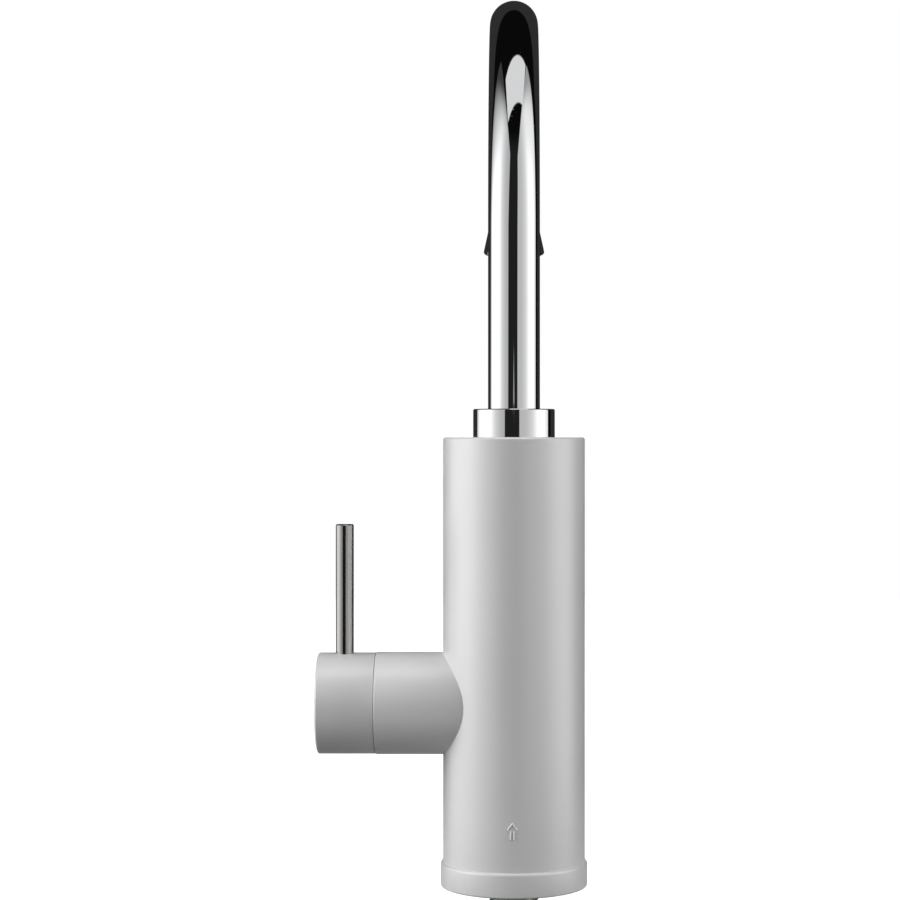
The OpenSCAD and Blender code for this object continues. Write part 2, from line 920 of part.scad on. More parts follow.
module lid_bolts() {
  color([0.7, 0.7, 0.72])
    for (a = [30 : 60 : 330])
      rotate([0, 0, a])
        translate([bolt_r, 0, 0]) {
          translate([0, 0, lid_z - 2.2])
            cylinder(r = 2.6, h = 2.2);
          translate([0, 0, lid_z - 1])
            cylinder(r = 1.5, h = lid_t + flange_t + 4.4);
          translate([0, 0, lid_top + flange_t])
            rotate([0, 0, 30])
              hex(5.5, 2.4);
        }
}

module heating_element() {
  start = 15;
  steps = 24;
  coil_end = coil_z + coil_pitch * coil_turns;
  coil = [for (i = [0 : coil_turns * steps]) [coil_r * cos(start + 360 * i / steps),
    coil_r * sin(start + 360 * i / steps), coil_z + coil_pitch * i / steps]];
  into = spline([[leg_a[0], leg_a[1], lid_top + 0.5], [leg_a[0], leg_a[1] + 0.6, coil_z - 3.6],
    [coil_r, -1.2, coil_z - 0.9], coil[0]], 4);
  back = spline([coil[len(coil) - 1], [coil_r - 2, 8.2, coil_end + 0.8], [coil_r - 8, 9.6, coil_end + 1.8],
    [leg_b[0], 5.6, coil_end + 1], [leg_b[0], 1.2, coil_end - 3.5], [leg_b[0], 0, coil_end - 9]], 4);
  color([0.55, 0.56, 0.58])
    sweep(concat([[leg_a[0], leg_a[1], leg_z]], into, [for (i = [1 : len(coil) - 2]) coil[i]],
      back, [[leg_b[0], leg_b[1], leg_z]]), element_r, 12);
}

module element_terminals() {
  color([0.8, 0.7, 0.45])
    for (p = [leg_a, leg_b])
      translate([p[0], p[1], leg_z - 5]) {
        translate([0, 0, 3.4])
          cylinder(r = 2.4, h = 1.6);
        cylinder(r = 1.1, h = 4);
      }
}

module thermal_cutout() {
  color([0.25, 0.22, 0.2])
    translate([0, can_r - 7.6, can_top]) {
      cylinder(r = 7, h = 1.2);
      cylinder(r = 6, h = 5.4);
      for (x = [-3.4, 3.4])
        translate([x - 1.6, 0, 4])
          cube([3.2, 9, 0.8]);
    }
}

module earth_tag() {
  color([0.8, 0.7, 0.45])
    translate([tag_at[0], tag_at[1], lid_z]) {
      translate([0, 0, -0.8])
        cylinder(r = 3.2, h = 0.8);
      translate([0, 0, -2.4])
        cylinder(r = 2.1, h = 1.7);
      cylinder(r = 1.2, h = 2);
      translate([1, -1.6, -0.8])
        cube([7, 3.2, 0.8]);
    }
}

// Outlet

module spout_socket() {
  color([0.8, 0.7, 0.45])
    difference() {
      union() {
        translate([0, 0, socket_z])
          cylinder(r = socket_r, h = socket_top - socket_z);
        translate([0, 0, body_top_z - top_wall - 3.2])
          cylinder(r = 18, h = 3.2);
      }
      translate([0, 0, bore_z])
        cylinder(r = bore_r, h = 40);
      translate([0, 0, clip_z])
        cylinder(r = bore_r + 1.1, h = clip_t + 0.4);
      translate([0, 0, socket_z - 1])
        cylinder(r = outlet_r + seat_fit, h = 6);
    }
}

module socket_nut() {
  color([0.8, 0.7, 0.45])
    translate([0, 0, body_top_z])
      difference() {
        cylinder(r = collar_r - 1.5, h = 5);
        translate([0, 0, -1])
          cylinder(r = socket_r + run_fit, h = 7);
        for (a = [0 : 60 : 300])
          rotate([0, 0, a])
            translate([collar_r - 2.5, -1.5, 2])
              cube([4, 3, 4]);
      }
}

module collar() {
  color([0.8, 0.81, 0.83])
    translate([0, 0, body_top_z])
      rotate_extrude()
        polygon([[collar_r - 1.2, 0], [collar_r, 0], [collar_r, collar_h - 0.4],
          [collar_r - 0.4, collar_h],
          [tube_r + air_gap, collar_h], [tube_r + air_gap, collar_h - 1.4],
          [collar_r - 1.2, collar_h - 1.4]]);
}

module spout_tube() {
  color([0.8, 0.81, 0.83]) {
    translate([0, 0, end_top])
      pipe(tube_r, tube_in, arc_z - end_top);
    translate([0, arc_r, arc_z])
      rotate([90, 0, -90])
        rotate_extrude(angle = arc_deg, $fn = 144)
          translate([arc_r, 0])
            difference() {
              circle(r = tube_r, $fn = 48);
              circle(r = tube_in, $fn = 48);
            }
  }
}

module spout_end() {
  color([0.8, 0.7, 0.45])
    difference() {
      union() {
        translate([0, 0, bore_z + 0.2])
          cylinder(r = tube_r, h = end_top - bore_z - 0.2);
        translate([0, 0, end_top])
          cylinder(r = tube_in - 0.05, h = 8);
      }
      translate([0, 0, bore_z - 1])
        cylinder(r = 6.5, h = 40);
      translate([0, 0, clip_z - 0.1])
        pipe(tube_r + 1, tube_r - 1.4, clip_t + 0.2);
      for (z = [6, 11])
        translate([0, 0, bore_z + z - 1.1])
          pipe(tube_r + 1, tube_r - 1.7, 2.2);
    }
}

module spout_orings() {
  color([0.12, 0.12, 0.12])
    for (z = [6, 11])
      translate([0, 0, bore_z + z])
        torus(tube_r - 0.84, 0.85);
}

module spout_clip() {
  color([0.6, 0.6, 0.62])
    translate([0, 0, clip_z])
      difference() {
        pipe(tube_r + 0.85, tube_r - 1.3, clip_t);
        translate([0, -2, -1])
          cube([20, 4, 4]);
      }
}

module nozzle() {
  color([0.8, 0.81, 0.83])
    at_outlet()
      rotate_extrude()
        polygon([[8.4, -5], [9.4, -5], [9.4, 0.02], [tube_r, 0.02], [tube_r + 0.1, 1.6], [tube_r + 0.5, 3.2],
          [tube_r + 1.1, 4.8], [tube_r + 1.7, 6.4], [tube_r + 2.2, 8.2], [tube_r + 2.6, 10],
          [nozzle_r, nozzle_len - 0.8], [nozzle_r - 0.5, nozzle_len], [mouth_r, nozzle_len],
          [mouth_r, 8], [8.4, 6.5]]);
}

module aerator_washer() {
  color([0.12, 0.12, 0.12])
    at_outlet()
      translate([0, 0, 8])
        pipe(mouth_r - 0.1, 9, 1.5);
}

module aerator_core() {
  color([0.85, 0.86, 0.86])
    at_outlet()
      translate([0, 0, 9.5])
        difference() {
          cylinder(r = mouth_r - 0.2, h = 6);
          for (ring = [0 : 4], k = [0 : max(0, 6 * ring - 1)])
            rotate([0, 0, ring == 0 ? 0 : 60 * k / ring])
              translate([2.3 * ring, 0, -1])
                cylinder(r = 0.75, h = 8, $fn = 16);
        }
}

module aerator_ring() {
  color([0.8, 0.81, 0.83])
    at_outlet()
      translate([0, 0, 15.6])
        difference() {
          pipe(mouth_r - 0.1, mouth_r - 1.9, nozzle_len - 16);
          for (a = [0, 90])
            rotate([0, 0, a])
              translate([-20, -1.2, nozzle_len - 17.4])
                cube([40, 2.4, 3]);
        }
}

// Wiring

module lead_live() {
  color([0.35, 0.2, 0.12]) {
    sweep(lead([[-6.5, block_y, block_z], [-6.5, block_y, block_z + 5.4],
      [-7.4, block_y + 1.2, block_z + 7.2], [-9, switch_y - 1.9, tag_z - 0.1],
      [-9, switch_y - 0.45, tag_z - 0.1]], 4), 1.2, 8);
    sweep(lead([[9, switch_y + 0.45, tag_z - 0.1], [9, switch_y + 2.2, tag_z - 0.1],
      [13, -6.5, 31], [18, -2, 38], [21.5, 2, 50], [22.6, 4, 64], [22.8, 5, axis_z],
      [21, 5, axis_z + 13], [14, 2.6, pin_z - 1.6], [leg_b[0] + 4.5, leg_b[1], pin_z],
      [leg_b[0] + 1.15, leg_b[1], pin_z]], 5), 1.2, 8);
  }
}

module lead_neutral() {
  color([0.15, 0.25, 0.6])
    sweep(lead([[6.5, block_y, block_z], [6.5, block_y, block_z + 5.4],
      [7.6, block_y + 1.2, block_z + 7.1], [12.2, -13.2, block_z + 6.85], [17, -9.5, 32], [20.5, -6, 40],
      [23, -4, 52], [23.8, -3, 64], [23.8, -3.5, axis_z], [23.2, -5, axis_z + 14],
      [leg_a[0] + 4, leg_a[1], pin_z], [leg_a[0] + 1.15, leg_a[1], pin_z]], 5), 1.2, 8);
}

module lead_earth() {
  color([0.35, 0.6, 0.15])
    sweep(lead([[0, block_y, block_z], [0, block_y, block_z + 5.8], [2.2, block_y + 1.7, block_z + 7.4],
      [5, switch_y + 0.6, block_z + 7], [7, -8, block_z + 5.6], [11, -3, block_z + 5.3], [17, 4, 32],
      [20.5, 9, 44], [21.5, 12, 60],
      [21, 14.5, axis_z], [20, 16, axis_z + 15], [tag_at[0] + 11.5, tag_at[1], lid_z - 2.6],
      [tag_at[0] + 8.1, tag_at[1], lid_z - 1.3]], 5), 1.2, 8);
}

casing();
base_ring();
base_plate();
base_screws();
deck_gasket();
shank();
strainer();
deck_pad();
horseshoe();
lock_nut();
cable_gland();
cord_clamp();
clamp_screws();
terminal_block();
terminal_screws();
feed_pipe();
valve_body();
bonnet_nut();
port_seal();
fixed_disc();
cartridge();
cartridge_nut();
diaphragm();
switch_housing();
switch_screws();
microswitch();
switch_bolts();
switch_tags();
heater_can();
heater_lid();
lid_seal();
lid_bolts();
heating_element();
element_terminals();
nipple_oring();
thermal_cutout();
earth_tag();
spout_socket();
socket_nut();
collar();
lead_live();
lead_neutral();
lead_earth();
knob();
lever_rod();
spindle();
spindle_oring();
thrust_washer();
moving_disc();
spout_tube();
spout_end();
spout_orings();
spout_clip();
nozzle();
aerator_washer();
aerator_core();
aerator_ring();
plunger();
return_spring();
switch_button();
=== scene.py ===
"""Electric instant water heater tap: looks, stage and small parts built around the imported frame."""

import json
import math

import bmesh
import bpy
from mathutils import Matrix, Vector


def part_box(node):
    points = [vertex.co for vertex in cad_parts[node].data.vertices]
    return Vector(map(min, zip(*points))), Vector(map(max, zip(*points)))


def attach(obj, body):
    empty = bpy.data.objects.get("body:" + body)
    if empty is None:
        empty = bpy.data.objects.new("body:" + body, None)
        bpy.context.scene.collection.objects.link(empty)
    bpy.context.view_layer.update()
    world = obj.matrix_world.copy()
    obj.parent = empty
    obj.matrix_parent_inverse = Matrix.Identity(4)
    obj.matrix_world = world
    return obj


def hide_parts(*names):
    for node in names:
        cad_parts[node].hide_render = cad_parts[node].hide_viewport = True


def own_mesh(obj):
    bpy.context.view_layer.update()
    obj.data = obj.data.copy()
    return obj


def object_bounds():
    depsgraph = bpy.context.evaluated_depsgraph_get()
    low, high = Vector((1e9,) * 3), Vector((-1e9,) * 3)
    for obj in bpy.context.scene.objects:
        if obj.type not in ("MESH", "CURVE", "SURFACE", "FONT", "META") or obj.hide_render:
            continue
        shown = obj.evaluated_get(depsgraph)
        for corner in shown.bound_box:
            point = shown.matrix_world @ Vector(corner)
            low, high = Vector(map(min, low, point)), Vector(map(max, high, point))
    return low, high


bl_info = {
    "name": "Water Heater Tap",
    "version": (1, 0, 0),
    "blender": (4, 5, 0),
    "location": "View3D > Sidebar > Tap",
    "description": "Dresses the packed tap: gooseneck, bell nozzle, threads, heater coil, wiring and finishes",
    "category": "Object",
}

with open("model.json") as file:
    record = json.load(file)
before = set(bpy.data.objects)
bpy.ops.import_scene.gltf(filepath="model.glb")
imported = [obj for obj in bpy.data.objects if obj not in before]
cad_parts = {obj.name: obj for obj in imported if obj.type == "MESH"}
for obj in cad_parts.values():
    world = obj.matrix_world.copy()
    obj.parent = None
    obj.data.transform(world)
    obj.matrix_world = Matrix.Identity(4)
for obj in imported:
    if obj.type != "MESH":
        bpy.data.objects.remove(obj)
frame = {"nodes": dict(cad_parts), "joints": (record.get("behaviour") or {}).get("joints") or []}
CAD_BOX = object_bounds()
NODES = frame["nodes"]

# Places taken from the frame, in metres
TUBE_LO, TUBE_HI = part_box("spout_tube")
SHANK_LO, SHANK_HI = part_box("shank")
CASING_LO, CASING_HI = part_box("casing")
KNOB_LO, KNOB_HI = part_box("knob")
KNOB_R = KNOB_HI.y
AXIS_Z = (KNOB_LO.z + KNOB_HI.z) / 2
TUBE_R = TUBE_HI.x
BODY_R = CASING_HI.x

MM = 0.001
MERGE = 1e-6  # vertices closer than this are one
ON_PLANE = 1e-5  # a vertex this near to a plane lies on it
SKIN = 1e-4  # depth of the skin that counts as the outside of a round piece
POLE = 1e-7  # a ring with a smaller radius is a single vertex
SWITCH_Y = -14.2  # the pressure switch's axis, in millimetres

# The picture's side, the column of the casing's axis and the row at the camera's height, in pixels
PICTURE, AXIS_COLUMN, EYE_ROW = 900.0, 514.0, 437.4
TENT_RADIUS, FLOOR_RADIUS, LAMP_SIZE = 2.6, 2.5, 1.3
TENT_CENTRE, LAMP_AIM = Vector((0, 0, 0.19)), Vector((0, 0, 0.12))
RIGHT_SHARE = 0.47  # the right fill lamp's share of the left one's power


# ------------ settings


def length(name, description, default):
    return bpy.props.FloatProperty(name=name, description=description, default=default,
                                   subtype="DISTANCE", unit="LENGTH")


def number(name, description, default):
    return bpy.props.FloatProperty(name=name, description=description, default=default)


def colour(name, description, default):
    return bpy.props.FloatVectorProperty(name=name, description=description, default=default,
                                         subtype="COLOR", size=3, min=0.0, max=1.0)


class TapSizes(bpy.types.PropertyGroup):
    bend_height: length("Bend height", "Height at which the riser starts to bend", 0.278)
    bend_radius: length("Bend radius", "Radius of the gooseneck's centre line", 0.1035)
    bend_angle: bpy.props.FloatProperty(
        name="Bend angle", description="How far the gooseneck turns",
        default=math.radians(165), subtype="ANGLE", unit="ROTATION")
    tube_wall: length("Tube wall", "Wall of the spout tube", 0.0012)
    nozzle_length: length("Nozzle length", "Length of the bell nozzle below the tube", 0.021)
    nozzle_width: length("Nozzle width", "Diameter of the bell nozzle's lip", 0.0312)
    thread_pitch: length("Thread pitch", "Pitch of the half-inch pipe thread on the shank", 0.001814)
    arrow_height: length("Arrow height", "Height of the moulded arrow near the casing's foot", 0.0066)
    wire_radius: length("Lead radius", "Radius of the insulated leads inside the casing", 0.0012)


class TapColours(bpy.types.PropertyGroup):
    body: colour("Body", "Colour of the moulded casing, foot ring and knob", (0.83, 0.83, 0.835))
    chrome: colour("Chrome", "Tint of the chrome plating", (0.90, 0.905, 0.915))
    steel: colour("Lever steel", "Tint of the brushed lever rod", (0.50, 0.495, 0.48))
    brass: colour("Brass", "Colour of the valve's and the terminals' bare brass", (0.72, 0.52, 0.24))
    rubber: colour("Rubber", "Colour of the gaskets and seals", (0.025, 0.025, 0.026))


class TapStudio(bpy.types.PropertyGroup):
    distance: length("Camera distance", "Distance of the camera from the casing's axis", 0.9535)
    eye_height: length("Camera height", "Height of the camera above the deck", 0.1895)
    lens: number("Lens", "Focal length of the camera in millimetres", 90.0)
    left_light: number("Left light", "Extra strength in the middle of the left softbox", 0.42)
    right_light: number("Right light", "Extra strength in the middle of the right softbox", 0.36)
    top_light: number("Top light", "Strength of the softbox over the tap", 0.72)
    dark: number("Flags", "What the black flags between the softboxes still give off", 0.003)
    fill_power: number("Front fill", "Power of the lamp over the camera side, in watts", 0.3)
    crown_power: number("Top fill", "Power of the lamp over the far side, in watts", 9.5)
    side_power: number("Side fill", "Power of the left lamp, in watts; the right one has a share", 24.0)


# ------------ mesh helpers


def link(name, data):
    obj = bpy.data.objects.new(name, data)
    bpy.context.scene.collection.objects.link(obj)
    return obj


def mesh_from(name, bm):
    """Turns a bmesh into a mesh and frees it."""
    mesh = bpy.data.meshes.new(name)
    bm.to_mesh(mesh)
    bm.free()
    return mesh


def face_outwards(bm):
    bmesh.ops.recalc_face_normals(bm, faces=bm.faces)
    if bm.calc_volume(signed=True) < 0:
        bmesh.ops.reverse_faces(bm, faces=bm.faces)


def shade(mesh, sharp_deg=35.0, merge=False):
    """Smooth shading with sharp edges above the angle; merge first joins doubles and turns faces outwards."""
    bm = bmesh.new()
    bm.from_mesh(mesh)
    if merge:
        bmesh.ops.remove_doubles(bm, verts=bm.verts, dist=MERGE)
        face_outwards(bm)
        bm.normal_update()
    for face in bm.faces:
        face.smooth = True
    for edge in bm.edges:
        if len(edge.link_faces) == 2:
            edge.smooth = edge.calc_face_angle(0.0) < math.radians(sharp_deg)
    bm.to_mesh(mesh)
    bm.free()


def evaluated_mesh(obj, name):
    """What an object's modifiers make of it, as a mesh of its own."""
    graph = bpy.context.evaluated_depsgraph_get()
    mesh = bpy.data.meshes.new_from_object(obj.evaluated_get(graph))
    if not mesh.polygons:
        raise RuntimeError(f"{name}: the modifiers left no faces")
    mesh.name = name
    return mesh


def in_metres(profile):
    return [(r * MM, z * MM) for r, z in profile]


def lathe_mesh(name, profile, segments=96, place=Matrix.Identity(4)):
    """Closed solid of revolution about Z from (radius, height) points, listed once round the section."""
    bm = bmesh.new()
    angles = [2 * math.pi * k / segments for k in range(segments)]
    rings = []
    for r, z in profile:
        spots = [(r * math.cos(a), r * math.sin(a), z) for a in angles] if r > POLE else [(0, 0, z)]
        rings.append([bm.verts.new(spot) for spot in spots])
    for a, b in zip(rings, rings[1:] + rings[:1]):
        if len(a) == 1 and len(b) == 1:
            continue
        for k in range(segments):
            n = (k + 1) % segments
            corners = (a[k % len(a)], a[n % len(a)], b[n % len(b)], b[k % len(b)])
            bm.faces.new(list(dict.fromkeys(corners)))  # a triangle where one of the rings is a pole
    face_outwards(bm)
    bm.transform(place)
    return mesh_from(name, bm)


def rows(r, low, high, step):
    """Points up a straight wall, close enough for a thread to be cut in it."""
    count = max(1, int(math.ceil(abs(high - low) / step)))
    return [(r, low + (high - low) * i / count) for i in range(count + 1)]


def smooth_path(points, steps=8):
    """Catmull-Rom through points in millimetres, given back in metres."""
    pts = [Vector(p) * MM for p in points]
    out = []
    for i in range(len(pts) - 1):
        a, b, c, d = pts[max(i - 1, 0)], pts[i], pts[i + 1], pts[min(i + 2, len(pts) - 1)]
        for s in range(steps):
            t = s / steps
            out.append(0.5 * (2 * b + (c - a) * t + (2 * a - 5 * b + 4 * c - d) * t * t
                              + (3 * b - a - 3 * c + d) * t * t * t))
    out.append(pts[-1])
    return out


def curve_of(name, points):
    data = bpy.data.curves.new(name, "CURVE")
    data.dimensions = "3D"
    data.twist_mode = "MINIMUM"
    spline = data.splines.new("POLY")
    spline.points.add(len(points) - 1)
    for p, q in zip(spline.points, points):
        p.co = (*q, 1.0)
    return link(name, data)


def join_meshes(name, meshes):
    bm = bmesh.new()
    for mesh in meshes:
        bm.from_mesh(mesh)
    return mesh_from(name, bm)


# ------------ node trees


def sums(operation):
    return lambda term, *others: term.tree.calc(operation, term, *others)


class Term:
    """A value in a node tree; every sum with it adds one Math node."""

    __add__, __sub__, __mul__, __truediv__, __abs__ = map(
        sums, ("ADD", "SUBTRACT", "MULTIPLY", "DIVIDE", "ABSOLUTE"))

    def __init__(self, tree, socket):
        self.tree, self.socket = tree, socket

    def __rsub__(self, other):
        return self.tree.calc("SUBTRACT", other, self)


class Tree:
    """Short ways to build a node tree."""

    def __init__(self, tree):
        self.tree = tree

    def feed(self, socket, value):
        """Sets an input to a plain value, or links it to a Term, a socket or a node's first output."""
        if isinstance(value, Term):
            value = value.socket
        elif isinstance(value, bpy.types.Node):
            value = value.outputs[0]
        if isinstance(value, bpy.types.NodeSocket):
            self.tree.links.new(value, socket)
        else:
            socket.default_value = value

    def node(self, kind, inputs=None, **settings):
        node = self.tree.nodes.new(kind)
        for key, value in settings.items():
            setattr(node, key, value)
        for key, value in (inputs or {}).items():
            self.feed(node.inputs[key], value)
        return node

    def term(self, kind, output=0, inputs=None, **settings):
        return Term(self, self.node(kind, inputs, **settings).outputs[output])

    def calc(self, operation, *values):
        return self.term("ShaderNodeMath", 0, dict(enumerate(values)), operation=operation)

    def ramp(self, value, low, high, start=0.0, stop=1.0):
        """Runs smoothly from start to stop while the value runs from low to high."""
        return self.term("ShaderNodeMapRange", 0, {
            "Value": value, "From Min": low, "From Max": high, "To Min": start, "To Max": stop},
            interpolation_type="SMOOTHSTEP")

    def band(self, value, low, high, soft):
        """1 between low and high, with soft edges."""
        return (self.ramp(value, low - soft / 2, low + soft / 2)
                * self.ramp(value, high - soft / 2, high + soft / 2, start=1.0, stop=0.0))

    def blend(self, share, first, second):
        """A mix of two colours."""
        return self.node("ShaderNodeMix", {0: share, 6: first, 7: second}, data_type="RGBA").outputs[2]

    def vector(self, x=0.0, y=0.0, z=0.0):
        return self.node("ShaderNodeCombineXYZ", {0: x, 1: y, 2: z})

    def parts(self, vector):
        return [Term(self, part) for part in self.node("ShaderNodeSeparateXYZ", {0: vector}).outputs]


class GeometryTree(Tree):
    """A Geometry Nodes tree with a geometry input, named inputs, a material and a geometry output."""

    KINDS = {float: "NodeSocketFloat", int: "NodeSocketInt", tuple: "NodeSocketVector"}

    def __init__(self, name, inputs):
        tree = bpy.data.node_groups.new(name, "GeometryNodeTree")
        super().__init__(tree)
        tree.interface.new_socket("Geometry", in_out="INPUT", socket_type="NodeSocketGeometry")
        for label, value in inputs.items():
            socket = tree.interface.new_socket(label, in_out="INPUT", socket_type=self.KINDS[type(value)])
            socket.default_value = value
        tree.interface.new_socket("Material", in_out="INPUT", socket_type="NodeSocketMaterial")
        tree.interface.new_socket("Geometry", in_out="OUTPUT", socket_type="NodeSocketGeometry")
        given = tree.nodes.new("NodeGroupInput").outputs
        self.geometry, self.material = given["Geometry"], given["Material"]
        self.values = [Term(self, given[label]) for label in inputs]
        self.result = tree.nodes.new("NodeGroupOutput")

    def tube(self, curve, radius, sides, caps=True):
        """A round section swept along a curve."""
        ring = self.node("GeometryNodeCurvePrimitiveCircle", {"Resolution": sides, "Radius": radius})
        return self.node("GeometryNodeCurveToMesh", {"Curve": curve, "Profile Curve": ring, "Fill Caps": caps})

    def finish(self, geometry):
        """Ends the tree in real geometry with its material set."""
        real = self.node("GeometryNodeRealizeInstances", {0: geometry})
        paint = self.node("GeometryNodeSetMaterial", {0: real, "Material": self.material})
        self.feed(self.result.inputs[0], paint)
        return self.tree


def gooseneck_tree(name):
    """A tube along a straight riser that runs into an arc."""
    tree = GeometryTree(name, {
        "Foot Height": 0.2, "Bend Height": 0.28, "Bend Radius": 0.1, "Bend Angle": 2.9, "Tube Radius": 0.011,
        "Steps": 280, "Sides": 96})
    foot, bend, radius, angle, thick, steps, sides = tree.values
    line = tree.node("GeometryNodeCurvePrimitiveLine")
    dense = tree.node("GeometryNodeResampleCurve", {"Curve": line, "Count": steps})
    riser = bend - foot
    along = tree.term("GeometryNodeSplineParameter", "Factor") * (riser + radius * angle)
    straight = tree.calc("MINIMUM", along, riser)
    turned = (along - straight) / radius
    reach = radius - radius * tree.calc("COSINE", turned)
    rise = foot + straight + radius * tree.calc("SINE", turned)
    bent = tree.node("GeometryNodeSetPosition", {"Geometry": dense, "Position": tree.vector(0.0, reach, rise)})
    return tree.finish(tree.tube(bent, thick, sides, caps=False))


def swept_tree(name):
    """Round wire, tube or bead along the object's own curve."""
    tree = GeometryTree(name, {"Radius": 0.001, "Sides": 16})
    return tree.finish(tree.tube(tree.geometry, *tree.values))


def coil_tree(name):
    """A round wire wound as a helix about Z."""
    tree = GeometryTree(name, {
        "Turns": 3.0, "Coil Radius": 0.005, "Height": 0.003, "Wire Radius": 0.0003, "Centre": (0, 0, 0)})
    turns, radius, height, thick, centre = tree.values
    spiral = tree.node("GeometryNodeCurveSpiral", {
        "Resolution": 48, "Rotations": turns, "Start Radius": radius, "End Radius": radius, "Height": height})
    wire = tree.tube(spiral, thick, 16)
    return tree.finish(tree.node("GeometryNodeTransform", {"Geometry": wire, "Translation": centre}))


def thread_tree(name):
    """Cuts a helical thread into the outer wall of a turned piece that stands on Z."""
    tree = GeometryTree(name, {
        "Crest Radius": 0.01, "Depth": 0.001, "Pitch": 0.0018, "Low End": 0.0, "High End": 0.05})
    crest, depth, pitch, low, high = tree.values
    wall = 2e-5  # only vertices this close to the crest radius are moved
    x, y, z = tree.parts(tree.node("GeometryNodeInputPosition"))
    radius = tree.calc("SQRT", x * x + y * y)
    phase = tree.calc("FRACT", z / pitch - tree.calc("ARCTAN2", y, x) / (2 * math.pi))
    groove = tree.ramp(abs(phase - 0.5) * 2.0, 0.14, 0.9)  # 0 on the crest, 1 in the root
    fade = tree.term("ShaderNodeClamp", 0, {
        "Value": tree.calc("MINIMUM", (z - low) / pitch, (high - z) / pitch)})
    outer = tree.calc("GREATER_THAN", radius, crest - wall) * tree.calc("LESS_THAN", radius, crest + wall)
    scale = (radius - groove * fade * depth * outer) / radius
    point = tree.vector(x * scale, y * scale, z)
    return tree.finish(tree.node("GeometryNodeSetPosition", {"Geometry": tree.geometry, "Position": point}))


def circle_tree(name):
    """Copies of the object's own mesh round a bolt circle."""
    tree = GeometryTree(name, {"Count": 4, "Circle Radius": 0.02, "First Angle": 0.0, "Centre": (0, 0, 0)})
    count, radius, first, centre = tree.values
    angle = tree.term("GeometryNodeInputIndex") * tree.calc("DIVIDE", 2 * math.pi, count) + first
    spot = tree.vector(tree.calc("COSINE", angle) * radius, tree.calc("SINE", angle) * radius)
    points = tree.node("GeometryNodePoints", {"Count": count, "Position": spot})
    copies = tree.node("GeometryNodeInstanceOnPoints", {
        "Points": points, "Instance": tree.geometry, "Rotation": tree.vector(z=angle)})
    return tree.finish(tree.node("GeometryNodeTransform", {"Geometry": copies, "Translation": centre}))


TREE_MAKERS = {"Gooseneck": gooseneck_tree, "Round Along Path": swept_tree, "Wound Spring": coil_tree,
               "Cut Thread": thread_tree, "Fasteners On Circle": circle_tree}


def made(kind, base, name, values, finish, sharp_deg=35.0, merge=True):
    """Runs a tree on an object and returns the result as a plain mesh object at the origin."""
    tree = bpy.data.node_groups.get(kind) or TREE_MAKERS[kind](kind)
    values["Material"] = FINISHES[finish]
    modifier = base.modifiers.new(kind, "NODES")
    modifier.node_group = tree
    for item in tree.interface.items_tree:
        if item.item_type == "SOCKET" and item.in_out == "INPUT" and item.name in values:
            modifier[item.identifier] = values[item.name]
    mesh = evaluated_mesh(base, name)
    bpy.data.objects.remove(base)
    shade(mesh, sharp_deg, merge)
    return link(name, mesh)


def empty_seed(name):
    """An empty mesh object for a tree that makes all of its own geometry."""
    return link(name, bpy.data.meshes.new(name))


def carried(obj, body, *replaced, slot):
    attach(obj, body)
    if replaced:
        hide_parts(*replaced)


def placed(mesh, finish, body, *replaced, sharp_deg, slot=None, merge=False):
    """Paints and shades a mesh, links it under its own name and hands it to its body."""
    mesh.materials.append(FINISHES[finish])
    shade(mesh, sharp_deg, merge)
    carried(link(mesh.name, mesh), body, *replaced, slot=slot or finish)


# ------------ finishes


class MaterialTree(Tree):
    """A new material's own tree."""

    def __init__(self, name):
        self.material = bpy.data.materials.new(name)
        self.material.use_nodes = True
        super().__init__(self.material.node_tree)
        self.tree.nodes.clear()

    def show(self, surface):
        self.node("ShaderNodeOutputMaterial", {"Surface": surface})
        return self.material


